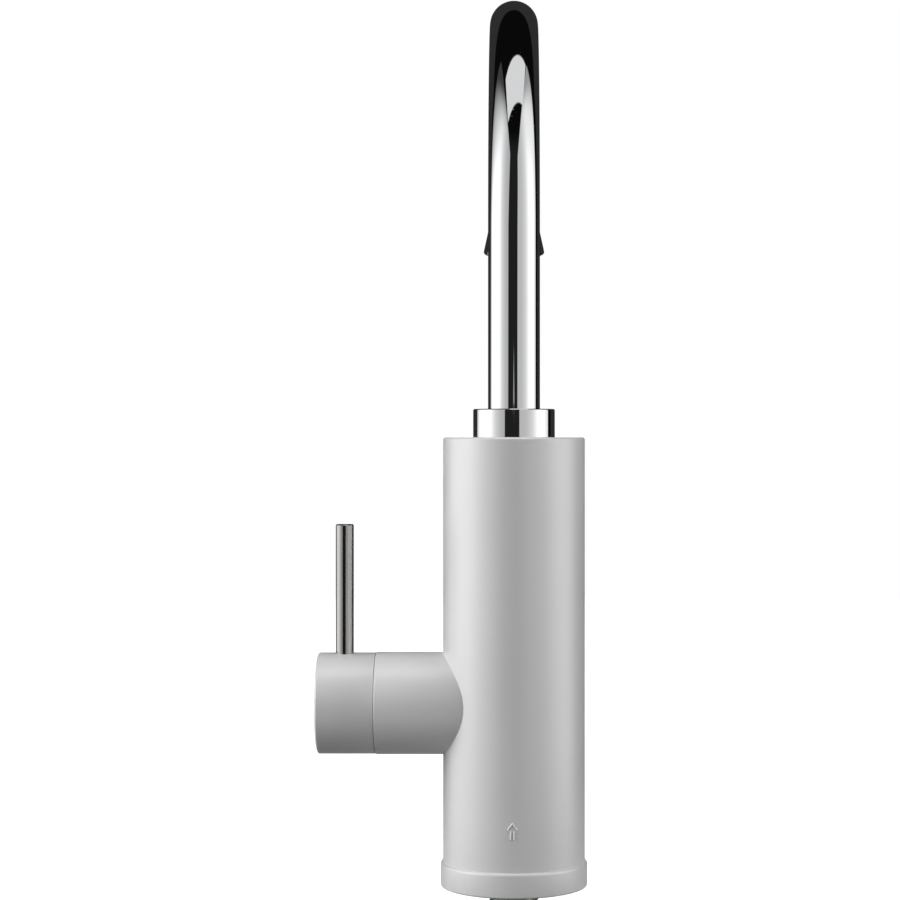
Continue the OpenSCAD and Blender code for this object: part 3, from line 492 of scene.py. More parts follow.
class Finish(MaterialTree):
    """A Principled material that is built up from Object coordinates."""

    def __init__(self, name, colour, roughness, metallic=0.0):
        super().__init__(name)
        self.material.diffuse_color = (*colour, 1.0)
        self.colour, self.roughness = colour, roughness
        self.skin = self.node("ShaderNodeBsdfPrincipled", {
            "Base Color": (*colour, 1.0), "Roughness": roughness, "Metallic": metallic})
        self.show(self.skin)
        self.place = self.node("ShaderNodeTexCoord").outputs["Object"]
        self.normal = None

    def spread(self, scale):
        """Object coordinates stretched by a scale for each axis."""
        return self.node("ShaderNodeMapping", {"Scale": scale, "Vector": self.place}).outputs[0]

    def noise(self, scale, detail=3.0, rough=0.5, vector=None):
        return self.term("ShaderNodeTexNoise", "Fac", {
            "Scale": scale, "Detail": detail, "Roughness": rough, "Vector": vector or self.place})

    def cells(self, scale, feature="F1"):
        return self.term("ShaderNodeTexVoronoi", "Distance", {
            "Scale": scale, "Vector": self.place}, feature=feature)

    def lines(self, scale, distortion=0.0):
        return self.term("ShaderNodeTexWave", "Fac", {
            "Scale": scale, "Distortion": distortion, "Detail": 2.0, "Vector": self.place},
            wave_type="BANDS", bands_direction="DIAGONAL")

    def tint(self, value, low, high, other):
        """Blends the base colour towards another where the value is high."""
        base = self.skin.inputs["Base Color"]
        under = base.links[0].from_socket if base.is_linked else base.default_value
        self.feed(base, self.blend(self.ramp(value, low, high), under, (*other, 1.0)))

    def darken(self, value, low, high, share):
        """Blends towards a share of the finish's own colour where the value is high."""
        self.tint(value, low, high, tuple(c * share for c in self.colour))

    def vary(self, value, less, more, low=0.3, high=0.7):
        """Roughness that grows with the value, from less below its middle to more above it."""
        self.feed(self.skin.inputs["Roughness"], self.ramp(
            value, low, high, self.roughness - less, self.roughness + more))

    def soften(self, radius):
        """Rounds the shading of machined and moulded edges."""
        self.normal = self.node("ShaderNodeBevel", {"Radius": radius}, samples=4).outputs[0]
        self.feed(self.skin.inputs["Normal"], self.normal)

    def bump(self, value, strength, distance):
        inputs = {"Strength": strength, "Distance": distance, "Height": value}
        if self.normal:
            inputs["Normal"] = self.normal
        self.normal = self.node("ShaderNodeBump", inputs).outputs[0]
        self.feed(self.skin.inputs["Normal"], self.normal)


def moulded(name, colour, roughness, grain=0.25, edge=0.0002, coat=0.0, coat_ior=1.5):
    """Moulded plastic: fine spark-eroded grain, slight flow marks and a little uneven gloss."""
    f = Finish(name, colour, roughness)
    for key, value in (("IOR", 1.5), ("Coat Weight", coat), ("Coat Roughness", 0.36), ("Coat IOR", coat_ior)):
        f.skin.inputs[key].default_value = value
    f.darken(f.noise(22.0), 0.35, 0.75, share=0.965)
    f.darken(f.noise(900.0, detail=2.0), 0.62, 0.8, share=0.95)
    f.vary(f.noise(60.0, detail=4.0, rough=0.6), less=0.05, more=0.06)
    f.soften(edge)
    f.bump(f.noise(3600.0, detail=2.0, rough=0.6), strength=grain, distance=0.00002)
    f.bump(f.noise(45.0, detail=2.0), strength=0.06, distance=0.0004)
    return f.material


def polished(name, colour, roughness, edge=0.00018):
    """Chrome plate: a mirror with faint wipe marks and a trace of water spots."""
    f = Finish(name, colour, roughness, 1.0)
    wiped = f.noise(1.0, rough=0.6, vector=f.spread((900.0, 900.0, 60.0)))
    f.darken(f.noise(35.0), 0.45, 0.8, share=0.97)
    spots = f.calc("MAXIMUM", f.ramp(f.cells(160.0), 0.10, 0.045, stop=0.10),
                   f.ramp(wiped, 0.55, 0.8, stop=0.05))
    f.feed(f.skin.inputs["Roughness"], spots + roughness)
    if edge:
        f.soften(edge)
    f.bump(wiped, strength=0.012, distance=0.00001)
    return f.material


def brushed(name, colour, roughness, stretch):
    """Steel brushed along its length: long fine scratches in gloss, tint and bump."""
    f = Finish(name, colour, roughness, 1.0)
    scratch = f.noise(1.0, detail=4.0, rough=0.7, vector=f.spread(stretch))
    f.darken(scratch, 0.42, 0.72, share=0.72)
    f.darken(f.noise(90.0, detail=2.0), 0.55, 0.8, share=0.92)
    f.vary(scratch, less=0.05, more=0.08, high=0.75)
    f.soften(0.00015)
    f.bump(scratch, strength=0.10, distance=0.00001)
    return f.material


def machined(name, colour, roughness, tarnish, pitch=2400.0, cast=0.0):
    """Turned or cast metal: tool lines, a cast skin where asked, and tarnish in the hollows."""
    f = Finish(name, colour, roughness, 1.0)
    f.darken(f.noise(70.0, detail=4.0, rough=0.6), 0.45, 0.75, share=tarnish)
    f.darken(f.cells(420.0, "SMOOTH_F1"), 0.35, 0.6, share=0.86)
    f.vary(f.noise(240.0), less=0.06, more=0.14)
    f.soften(0.00022)
    f.bump(f.lines(pitch, distortion=1.2), strength=0.08, distance=0.00001)
    f.bump(f.noise(1400.0, detail=4.0, rough=0.65), strength=0.10 + cast, distance=0.00004)
    return f.material


def plated(name, colour, roughness):
    """Zinc-plated steel: crystal patches with a thin passivation tint."""
    f = Finish(name, colour, roughness, 1.0)
    f.darken(f.cells(700.0), 0.15, 0.6, share=0.82)
    f.tint(f.noise(160.0), 0.5, 0.75, (0.62, 0.60, 0.48))
    f.vary(f.cells(700.0), less=0.06, more=0.1, low=0.1)
    f.soften(0.00015)
    f.bump(f.noise(1800.0), strength=0.10, distance=0.00002)
    return f.material


def rubbery(name, colour, roughness):
    """Moulded rubber: dull, with a bloom of pale dust and fine pits."""
    f = Finish(name, colour, roughness)
    f.skin.inputs["Specular IOR Level"].default_value = 0.35
    f.tint(f.noise(140.0, detail=4.0, rough=0.6), 0.5, 0.85, (0.075, 0.075, 0.075))
    f.vary(f.noise(300.0), less=0.08, more=0.08)
    f.soften(0.0002)
    f.bump(f.noise(2600.0), strength=0.25, distance=0.00003)
    return f.material


def lapped(name, colour, roughness):
    """Sintered ceramic, lapped flat: tiny darker grains in a smooth ground."""
    f = Finish(name, colour, roughness)
    f.skin.inputs["IOR"].default_value = 1.76
    f.darken(f.cells(2600.0), 0.05, 0.2, share=0.97)
    f.darken(f.noise(1900.0, detail=2.0), 0.62, 0.75, share=0.88)
    f.vary(f.noise(400.0), less=0.04, more=0.06)
    f.soften(0.0001)
    f.bump(f.noise(5000.0, detail=2.0), strength=0.05, distance=0.00001)
    return f.material


def insulated(name, colour, stripe=None):
    """Wire insulation: smooth vinyl with faint draw lines and, on earth wire, a second colour."""
    f = Finish(name, colour, 0.36)
    f.darken(f.noise(200.0), 0.4, 0.8, share=0.85)
    if stripe:
        f.tint(f.lines(95.0), 0.42, 0.58, stripe)
    f.vary(f.noise(500.0), less=0.06, more=0.1)
    f.bump(f.noise(2200.0, detail=2.0), strength=0.12, distance=0.00003)
    return f.material


FINISHES = {}


def make_finishes(colours):
    """One finish for each of the pack's slots, and four more for pieces made here."""
    body, chrome, steel, brass, rubber = (
        tuple(c) for c in (colours.body, colours.chrome, colours.steel, colours.brass, colours.rubber))
    FINISHES.update({
        "white_plastic": moulded("White moulded plastic", body, 0.40, grain=0.20, edge=0.00022,
                                 coat=1.0, coat_ior=2.5),
        "grey_plastic": moulded("Grey moulded plastic", (0.42, 0.42, 0.42), 0.45),
        "black_plastic": moulded("Black moulded plastic", (0.022, 0.022, 0.024), 0.42, grain=0.4),
        "cream_plastic": moulded("Cream moulded plastic", (0.68, 0.64, 0.53), 0.42),
        "red_plastic": moulded("Red moulded plastic", (0.42, 0.04, 0.025), 0.38),
        "chrome": polished("Chrome plate", chrome, 0.035),
        "brushed_steel": brushed("Brushed lever steel", steel, 0.13, stretch=(5200.0, 5200.0, 55.0)),
        "stainless": machined("Stainless steel", (0.56, 0.555, 0.545), 0.30, tarnish=0.85, pitch=1800.0),
        "zinc_steel": plated("Zinc plated steel", (0.60, 0.61, 0.60), 0.32),
        "brass": machined("Machined brass", brass, 0.28, tarnish=0.62, cast=0.10),
        "alumina": lapped("Lapped ceramic", (0.82, 0.80, 0.74), 0.20),
        "black_rubber": rubbery("Black rubber", rubber, 0.62),
        "brown_wire": insulated("Brown insulation", (0.10, 0.035, 0.014)),
        "blue_wire": insulated("Blue insulation", (0.02, 0.075, 0.32)),
        "green_wire": insulated("Green and yellow insulation", (0.05, 0.26, 0.035), (0.72, 0.60, 0.04)),
        "tinned": plated("Tinned ends", (0.70, 0.69, 0.66), 0.3),
        "plated_brass": machined("Nickel plated brass", (0.60, 0.585, 0.55), 0.26, tarnish=0.8, cast=0.05),
        "tube_chrome": polished("Chrome plate on the tube", chrome, 0.03, edge=0.0),
        # the arrow's beads are the casing's white plastic; their whiter colour here is a painted highlight
        # along the raised lines
        "bead": moulded("Raised white bead", (0.96, 0.96, 0.96), 0.3, grain=0.1),
    })


def dress_nodes():
    """Gives every CAD node its own finish by its slot."""
    for name, node in NODES.items():
        for slot in node.material_slots:
            slot_name = slot.material.name.split(".")[0]
            if slot_name not in FINISHES:
                raise RuntimeError(f"{name} has the slot {slot_name}, which has no finish")
            slot.material = FINISHES[slot_name]


# ------------ mouldings


def copy_of(name):
    """A merged copy of a CAD node's mesh, in world coordinates."""
    node = NODES[name]
    bm = bmesh.new()
    bm.from_mesh(node.data)
    bm.transform(node.matrix_world)
    bmesh.ops.remove_doubles(bm, verts=bm.verts, dist=MERGE)
    return bm


def on_round(vert):
    """True for a vertex on the outside of the branch or the knob."""
    return math.hypot(vert.co.y, vert.co.z - AXIS_Z) > KNOB_R - SKIN


def make_casing():
    """The casing with the mould's small rounding where the branch ends at the knob."""
    reach, rounding = 0.3 * MM, 0.42 * MM
    bm = copy_of("casing")
    rim = [e for e in bm.edges if all(abs(v.co.x - CASING_LO.x) < ON_PLANE and on_round(v) for v in e.verts)]
    if not rim:
        raise RuntimeError("the branch's end edge wasn't found")
    for v in {v for e in rim for v in e.verts}:
        v.co.x -= reach
    bmesh.ops.bevel(bm, geom=rim, offset=rounding, segments=4, affect="EDGES", profile=0.5)
    placed(mesh_from("moulded_casing", bm), "white_plastic", "base_body", "casing", sharp_deg=26, merge=True)


def make_ring():
    """The foot ring with its upper and lower edges rounded over their bevels."""
    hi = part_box("base_ring")[1]
    r, body, top, spigot_top = hi.x / MM, BODY_R / MM, 10.4, hi.z / MM
    bevel, foot_round, skirt_r, spigot_r, bore_r, seat_z = 1.3, 0.8, 26.0, 27.4, 24.2, 6.2
    quarter = [math.radians(a) for a in range(0, 91, 15)]
    profile = [(skirt_r, 0.0)]
    profile += [(30.2 + foot_round * math.sin(a), foot_round - foot_round * math.cos(a)) for a in quarter]
    profile += [(body + (r - body) * math.cos(a), 9.1 + bevel * math.sin(a)) for a in quarter]
    profile += [(spigot_r, top), (spigot_r, spigot_top - 0.4), (spigot_r - 0.4, spigot_top)]
    profile += [(25.4, spigot_top), (25.4, top), (bore_r, top), (bore_r, seat_z), (skirt_r, seat_z)]
    ring = lathe_mesh("foot_ring", in_metres(profile), segments=144)
    placed(ring, "white_plastic", "base_body", "base_ring", sharp_deg=30)


def make_knob():
    """The knob, closed up to the branch as far as its running gap allows, and a hair slimmer than it."""
    closer, slimmer = 0.08 * MM, 0.2 * MM
    bm = copy_of("knob")
    face = max(v.co.x for v in bm.verts if on_round(v))
    for v in bm.verts:
        if abs(v.co.x - face) < ON_PLANE:
            v.co.x += closer
        away = Vector((v.co.y, v.co.z - AXIS_Z))
        if away.length > KNOB_R - SKIN:
            away *= 1 - slimmer / away.length
            v.co.y, v.co.z = away.x, away.y + AXIS_Z
    placed(mesh_from("turning_knob", bm), "white_plastic", "handle", "knob", sharp_deg=26, merge=True)


def make_arrow(sizes):
    """The small outline arrow moulded near the foot of the casing, as thin raised beads, coloured whiter than
    the casing as a painted highlight.
    """
    top, low, off = 30.8, 30.8 - sizes.arrow_height / MM, -0.65
    half, wing, shaft, bead_r, proud, pieces = 2.1, 2.6, 0.72, 0.29, 0.08, 6
    strokes = [[(-half, top - wing), (0, top), (half, top - wing)],
               [(-shaft, top - wing - 0.55), (-shaft, low)],
               [(shaft, top - wing - 0.55), (shaft, low)]]
    out = BODY_R + proud * MM
    meshes = []
    for stroke in strokes:
        dense = []
        for a, b in zip(stroke, stroke[1:]):
            dense += [(a[0] + (b[0] - a[0]) * i / pieces, a[1] + (b[1] - a[1]) * i / pieces)
                      for i in range(pieces)]
        path = []
        for x, z in dense + stroke[-1:]:
            around = (x + off) / (BODY_R / MM)
            path.append(Vector((out * math.sin(around), -out * math.cos(around), z * MM)))
        bead = made("Round Along Path", curve_of("arrow_path", path), "arrow_bead",
                    {"Radius": bead_r * MM, "Sides": 12}, "bead", sharp_deg=70)
        meshes.append(bead.data)
        bpy.data.objects.remove(bead)
    # the beads keep the casing's slot; their whiter finish is a painted highlight, their relief is real
    placed(join_meshes("moulded_arrow", meshes), "bead", "base_body", sharp_deg=60, slot="white_plastic")


# ------------ spout


def outlet_place(sizes):
    """Frame of the spout's outlet, +Z the way the water leaves."""
    tilt = math.pi - sizes.bend_angle
    spot = Vector((0, sizes.bend_radius * (1 + math.cos(tilt)),
                   sizes.bend_height + sizes.bend_radius * math.sin(tilt)))
    return Matrix.Translation(spot) @ Matrix.Rotation(math.pi + tilt, 4, "X")


def make_gooseneck(sizes):
    """The bent tube with a real wall, open at both ends."""
    tube = made("Gooseneck", empty_seed("gooseneck_seed"), "gooseneck", {
        "Foot Height": TUBE_LO.z, "Bend Height": sizes.bend_height, "Bend Radius": sizes.bend_radius,
        "Bend Angle": sizes.bend_angle, "Tube Radius": TUBE_R, "Steps": 260, "Sides": 128},
        "tube_chrome", merge=False)
    bm = bmesh.new()
    bm.from_mesh(tube.data)
    bmesh.ops.remove_doubles(bm, verts=bm.verts, dist=MERGE)
    bmesh.ops.recalc_face_normals(bm, faces=bm.faces)
    # an open tube has no volume, so its outside is told by the topmost face
    face = max(bm.faces, key=lambda f: f.calc_center_median().z)
    middle = Vector((0, sizes.bend_radius, sizes.bend_height))
    if (face.calc_center_median() - middle).dot(face.normal) < 0:
        bmesh.ops.reverse_faces(bm, faces=bm.faces)
    bm.to_mesh(tube.data)
    bm.free()
    wall = tube.modifiers.new("Wall", "SOLIDIFY")
    wall.thickness = sizes.tube_wall
    wall.offset = -1.0
    wall.use_even_offset = True
    solid = evaluated_mesh(tube, "gooseneck")
    tube.modifiers.clear()
    tube.data = solid
    shade(solid, sharp_deg=40, merge=True)
    carried(tube, "spout", "spout_tube", slot="chrome")


def make_nozzle(sizes):
    """Bell nozzle: a straight start, a flare and a rolled lip, hollow down to the aerator seat."""
    lip, end = sizes.nozzle_width / 2 / MM, sizes.nozzle_length / MM
    bore, neck, plug = 12.1, 8.4, -5.0
    inner = [(12.5, end), (12.22, end - 0.1), (bore, end - 0.4), (bore, 14.0), (bore, 8.0), (neck, 6.5),
             (neck, plug)]
    outer = [(9.2, plug), (9.4, plug + 0.2), (9.4, 0.02)]
    flare = [(11.0, 0.02), (11.02, 0.9), (11.12, 1.8), (11.3, 2.7), (11.56, 3.6), (11.86, 4.6), (12.2, 5.7),
             (12.58, 7.0), (12.98, 8.4), (13.4, 10.0)]
    wide, low = flare[-1]
    flare += [(wide + (lip - 0.02 - wide) * t, low + (end - 1.1 - low) * t) for t in (0.2, 0.4, 0.6, 0.8, 1.0)]
    flare += [(lip, end - 0.75), (lip - 0.05, end - 0.4), (lip - 0.2, end - 0.14), (lip - 0.45, end)]
    bell = lathe_mesh("bell_nozzle", in_metres(inner + outer + flare), segments=128,
                      place=outlet_place(sizes))
    placed(bell, "chrome", "spout", "nozzle", sharp_deg=28)


# ------------ threads and fasteners


def make_shank(sizes):
    """Hollow threaded shank: fixing thread, groove, tail thread, flange and pipe socket."""
    lo, hi = SHANK_LO.z / MM, SHANK_HI.z / MM
    crest, root, bore, pipe, flange, flange_low = 10.4775, 9.1775, 4.0, 7.0, 13.5, 6.2
    flange_top, step = flange_low + 3.0, 0.17
    profile = [(pipe, lo + 0.3), (7.3, lo), (9.6, lo)]
    profile += rows(crest, lo + 0.9, lo + 10.0, step) + [(root, lo + 10.0), (root, lo + 11.2)]
    profile += rows(crest, lo + 11.2, flange_low, step)
    profile += [(flange, flange_low), (flange, flange_low + 2.8), (flange - 0.2, flange_top)]
    profile += [(pipe, flange_top), (pipe, hi - 0.3), (pipe - 0.3, hi), (5.3, hi), (5.05, hi - 0.3),
                (5.05, 12.0), (bore, 12.0), (bore, 1.0), (pipe, 1.0)]
    base = link("shank_seed", lathe_mesh("threaded_shank", in_metres(profile)))
    shank = made("Cut Thread", base, "threaded_shank", {
        "Crest Radius": crest * MM, "Depth": 1.1 * MM, "Pitch": sizes.thread_pitch,
        "Low End": (lo + 0.9) * MM, "High End": (flange_low - 1.0) * MM}, "plated_brass", sharp_deg=50)
    shank.data.transform(Matrix.Translation((0, (SHANK_LO.y + SHANK_HI.y) / 2, 0)))
    carried(shank, "base_body", "shank", slot="brass")


def screw(name, head, shaft_r, shaft_len, pitch, depth, tip):
    """A screw, head down on Z=0 and shaft up; head is a closed list of (radius, height) points."""
    top = max(z for _, z in head)
    profile = head + rows(shaft_r, top, shaft_len - tip, pitch / 7)
    profile += [(shaft_r * 0.55, shaft_len), (0, shaft_len)]
    base = link(name + "_seed", lathe_mesh(name, in_metres(profile), segments=28))
    return made("Cut Thread", base, name, {
        "Crest Radius": shaft_r * MM, "Depth": depth * MM, "Pitch": pitch * MM,
        "Low End": (top + 0.5) * MM, "High End": (shaft_len + 1) * MM}, "zinc_steel", sharp_deg=40)


def cut_slots(obj, width, depth, reach, count):
    """Cuts a plain or cross slot into the head's lower face."""
    cutter = bmesh.new()
    size = Matrix.Diagonal((2 * reach * MM, width * MM, 2 * depth * MM, 1))
    for k in range(count):
        turn = Matrix.Rotation(math.pi / 2 * k, 4, "Z")
        bmesh.ops.create_cube(cutter, size=1.0, matrix=turn @ size)
    tool = link("slot_cutter", mesh_from("slot_cutter", cutter))
    cut = obj.modifiers.new("Slot", "BOOLEAN")
    cut.operation = "DIFFERENCE"
    cut.solver = "EXACT"
    cut.use_self = count > 1
    cut.object = tool
    solid = evaluated_mesh(obj, obj.name)
    obj.modifiers.clear()
    obj.data = solid
    bpy.data.objects.remove(tool)


def hex_nut(name, across, bottom, top):
    """A plain hexagon nut across its flats, with rounded edges."""
    nut = bmesh.new()
    corner = across / math.sqrt(3)
    for k in range(6):
        a = math.radians(60 * k + 30)
        for z in (bottom, top):
            nut.verts.new((corner * math.cos(a) * MM, corner * math.sin(a) * MM, z * MM))
    bmesh.ops.convex_hull(nut, input=nut.verts)
    bmesh.ops.bevel(nut, geom=nut.edges[:], offset=0.18 * MM, segments=2, affect="EDGES")
    return mesh_from(name, nut)


def make_fasteners():
    """Threaded screws and bolts with slots, set out on their circles."""
    lo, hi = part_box("base_screws")
    head_r, first = 2.7, math.radians(45)
    head = [(0, 0), (2.45, 0), (head_r, 0.25), (head_r, 0.7), (1.9, 1.45), (1.2, 1.7)]
    one = screw("base_screw", head, shaft_r=1.2, shaft_len=18.0, pitch=0.9, depth=0.22, tip=1.2)
    cut_slots(one, width=0.7, depth=0.9, reach=1.7, count=2)
    screws = made("Fasteners On Circle", one, "base_screw_set", {
        "Count": 4, "Circle Radius": (hi.x - head_r * MM) / math.cos(first), "First Angle": first,
        "Centre": Vector((0, 0, lo.z))}, "zinc_steel", sharp_deg=40)
    carried(screws, "base_body", "base_screws", slot="zinc_steel")

    lo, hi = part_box("lid_bolts")
    head = [(0, 0), (2.2, 0), (2.5, 0.2), (2.6, 0.7), (2.6, 1.9), (2.4, 2.2), (1.5, 2.2)]
    one = screw("lid_bolt", head, shaft_r=1.5, shaft_len=(hi.z - lo.z) / MM, pitch=0.5, depth=0.26, tip=0.4)
    cut_slots(one, width=0.8, depth=1.0, reach=3.0, count=1)
    both = join_meshes("lid_bolt_nut", [one.data, hex_nut("lid_nut", across=5.5, bottom=8.2, top=10.6)])
    bpy.data.objects.remove(one)
    bolts = made("Fasteners On Circle", link("lid_bolt_nut", both), "lid_bolt_set", {
        "Count": 6, "Circle Radius": 24.2 * MM, "First Angle": math.radians(30),
        "Centre": Vector((0, 0, lo.z))}, "zinc_steel", sharp_deg=40, merge=False)
    carried(bolts, "base_body", "lid_bolts", slot="zinc_steel")


# ------------ heater, spring and wiring


def make_heater():
    """The wound element: in through one leg, up the coil and back down its middle."""
    lid_top, coil_z, leg_z, coil_r, pitch, turns, wire_r = 110.5, 117.0, 101.0, 14.5, 8.2, 5, 3.2
    start, steps = 15.0, 48
    end = coil_z + pitch * turns
    coil = [(coil_r * math.cos(math.radians(start + 360 * i / steps)),
             coil_r * math.sin(math.radians(start + 360 * i / steps)), coil_z + pitch * i / steps)
            for i in range(turns * steps + 1)]
    into = smooth_path([(coil_r, -5, lid_top + 0.5), (coil_r, -4.4, coil_z - 3.6),
                        (coil_r, -1.2, coil_z - 0.9), coil[0]])
    back = smooth_path([coil[-1], (12.5, 8.2, end + 0.8), (6.5, 9.6, end + 1.8), (3, 5.6, end + 1),
                        (3, 1.2, end - 3.5), (3, 0, end - 9)])
    path = [Vector((coil_r, -5, leg_z)) * MM] + into + [Vector(p) * MM for p in coil[1:-1]] + back
    path += [Vector((3, 0, leg_z)) * MM]
    element = made("Round Along Path", curve_of("element_path", path), "wound_element",
                   {"Radius": wire_r * MM, "Sides": 32}, "stainless", sharp_deg=50)
    carried(element, "base_body", "heating_element", slot="stainless")


def make_spring():
    """The switch's return spring."""
    low, high = 54.35, 57.05
    spring = made("Wound Spring", empty_seed("spring_seed"), "wound_spring", {
        "Turns": 3.0, "Coil Radius": 5 * MM, "Height": (high - low) * MM, "Wire Radius": 0.3 * MM,
        "Centre": Vector((0, SWITCH_Y * MM, low * MM))}, "stainless", sharp_deg=60)
    carried(spring, "base_body", "return_spring", slot="stainless")
    travel = next(j for j in frame["joints"] if j["name"] == "plunger_push")["range_m"][1]
    1 - travel / ((high - low) * MM)
    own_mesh(spring)


def ferrule(path, length, radius):
    """A crimped ferrule on a lead's end, as a closed turned sleeve along the path's first stretch."""
    turn = (path[1] - path[0]).normalized().to_track_quat("Z", "Y").to_matrix().to_4x4()
    profile = [(0, 0), (radius * 0.8, 0), (radius, 0.2 * MM), (radius, length * 0.35),
               (radius * 0.86, length * 0.45), (radius, length * 0.55), (radius, length - 0.2 * MM),
               (radius * 0.9, length), (0, length)]
    return lathe_mesh("ferrule", profile, segments=24, place=Matrix.Translation(path[0]) @ turn)


def make_leads(sizes):
    """Insulated leads from the terminals to the switch and the element, with crimped ends."""
    r = sizes.wire_radius
    long_ferrule, short_ferrule = 3.2 * MM, 1.6 * MM
    block_y, block_z, tag_z, pin_z, axis_z, sw = -18.8, 21.7, 31.0, 97.8, 77.0, SWITCH_Y
    # name: slot, the node it stands for, and its way in millimetres
    routes = {
        "supply_lead": ("brown_wire", "lead_live", [
            (-6.5, block_y, block_z), (-6.5, block_y, block_z + 5.4), (-7.4, block_y + 1.2, block_z + 7.2),
            (-9, sw - 1.9, tag_z - 0.1), (-9, sw - 0.45, tag_z - 0.1)]),
        "live_lead": ("brown_wire", "lead_live", [
            (9, sw + 0.45, tag_z - 0.1), (9, sw + 2.2, tag_z - 0.1), (13, -6.5, 31), (18, -2, 38),
            (21.5, 2, 50), (22.6, 4, 64), (22.8, 5, axis_z), (21, 5, axis_z + 13), (14, 2.6, pin_z - 1.6),
            (7.5, 0, pin_z), (4.15, 0, pin_z)]),
        "neutral_lead": ("blue_wire", "lead_neutral", [
            (6.5, block_y, block_z), (6.5, block_y, block_z + 5.4), (7.6, block_y + 1.2, block_z + 7.1),
            (12.2, -13.2, block_z + 6.85), (17, -9.5, 32), (20.5, -6, 40), (23, -4, 52), (23.8, -3, 64),
            (23.8, -3.5, axis_z), (23.2, -5, axis_z + 14), (18.5, -5, pin_z), (15.65, -5, pin_z)]),
        "earth_lead": ("green_wire", "lead_earth", [
            (0, block_y, block_z), (0, block_y, block_z + 5.8), (2.2, block_y + 1.7, block_z + 7.4),
            (5, sw + 0.6, block_z + 7), (7, -8, block_z + 5.6), (11, -3, block_z + 5.3), (17, 4, 32),
            (20.5, 9, 44), (21.5, 12, 60), (21, 14.5, axis_z), (20, 16, axis_z + 15), (19.5, 16, 104.4),
            (16.1, 16, 105.7)]),
    }
    for name, (slot, stands_for, points) in routes.items():
        path = [Vector(points[0]) * MM] + smooth_path(points[1:-1]) + [Vector(points[-1]) * MM]
        cover = made("Round Along Path", curve_of(name + "_path", path), name + "_cover",
                     {"Radius": r * 0.94, "Sides": 20}, slot, sharp_deg=60)
        carried(cover, "base_body", stands_for, slot=slot)
        ends = join_meshes(name + "_ferrules", [ferrule(path, long_ferrule, r),
                                                ferrule(path[::-1], short_ferrule, r)])
        placed(ends, "tinned", "base_body", sharp_deg=50, slot="zinc_steel")


# ------------ stage


def tent_material(studio):
    """Softboxes left, right and above with black flags between them, by direction from the tap."""
    tree = MaterialTree("Light tent")
    degrees = 180 / math.pi
    spot = tree.node("ShaderNodeNewGeometry").outputs["Position"]
    shift = tree.node("ShaderNodeVectorMath", {0: spot, 1: TENT_CENTRE}, operation="SUBTRACT")
    x, y, z = tree.parts(tree.node("ShaderNodeVectorMath", {0: shift}, operation="NORMALIZE"))
    # turn is 0 towards the camera and grows to the right, up is the angle over the horizon
    turn = tree.calc("ARCTAN2", x, y * -1.0) * degrees
    up = tree.calc("ARCSINE", z) * degrees
    high = tree.calc("MAXIMUM", up, 0.0)

    def softbox(side, near, lean, far, tuck, dim, core, steep, flat, foot):
        """A standing softbox on the left (-1) or right (1), from near to far degrees round the tap.

        The near edge moves out by lean for each degree of height, the far edge in by tuck up to 30 degrees.
        The light grows from dim at the near edge and has an extra core in its middle. It falls to foot
        where the direction is as steep as the first slope, and is whole below the second, flat one.
        """
        around = turn * side
        shape = (tree.band(around + high * -lean, near, 170.0, 2.0)
                 * tree.band(around + tree.calc("MINIMUM", high, 30.0) * tuck, 0.0, far, 3.0))
        # the upper edge is cut by a slanting plane, so that it meets the top softbox with a dark line
        shape = shape * tree.ramp(x * side - (z * 0.61 + y * 0.17), -0.012, 0.012)
        middle = tree.ramp(around, 50.0, 80.0, stop=core) * tree.ramp(around, far - 5.0, far - 20.0)
        middle = middle * tree.ramp(z / tree.calc("MAXIMUM", 1.0 - y, 0.05), 0.60, 0.25)
        slope = (z + y * 1.07) / tree.calc("MAXIMUM", abs(x), 0.02)
        soft = tree.ramp(around, 24.0, 76.0, dim, 0.88) * tree.ramp(slope, steep, flat, start=foot)
        return shape * (soft + middle)

    left = softbox(-1.0, near=26.0, lean=-0.15, far=126.0, tuck=0.33, dim=0.44, core=studio.left_light,
                   steep=1.55, flat=0.38, foot=0.05)
    right = softbox(1.0, near=15.0, lean=0.10, far=111.0, tuck=0.0, dim=0.50, core=studio.right_light,
                    steep=1.55, flat=0.75, foot=0.38)
    # the top softbox is a rectangle in a level plane, slightly turned
    roof = tree.calc("MAXIMUM", z, 0.02)
    over_x = x / roof
    over_y = y / roof + over_x * -0.26
    top = tree.band(over_x, -0.47, 0.60, 0.03) * tree.band(over_y, -0.485, 0.045, 0.025)
    top = top * (tree.calc("GREATER_THAN", z, 0.05) * studio.top_light)
    # faint light from behind the tap and from the camera's side, and a small bright wedge towards the camera
    behind = tree.ramp(y - z, 0.0, 0.04, stop=0.024) * tree.ramp(abs(turn), 124.0, 128.0)
    front = tree.ramp(abs(turn), 40.0, 30.0, stop=0.011) * tree.ramp(up, 52.0, 40.0)
    wedge = (3.3 - up) * 1.6 - abs(turn + 0.8)
    wedge = tree.ramp(wedge, -0.3, 0.6, stop=0.30) * tree.ramp(up, 1.0, 1.3)
    total = tree.calc("MAXIMUM", left + right, tree.calc("MAXIMUM", top, behind))
    total = total + tree.calc("MAXIMUM", front, wedge) + studio.dark
    return tree.show(tree.node("ShaderNodeEmission", {"Strength": total}))


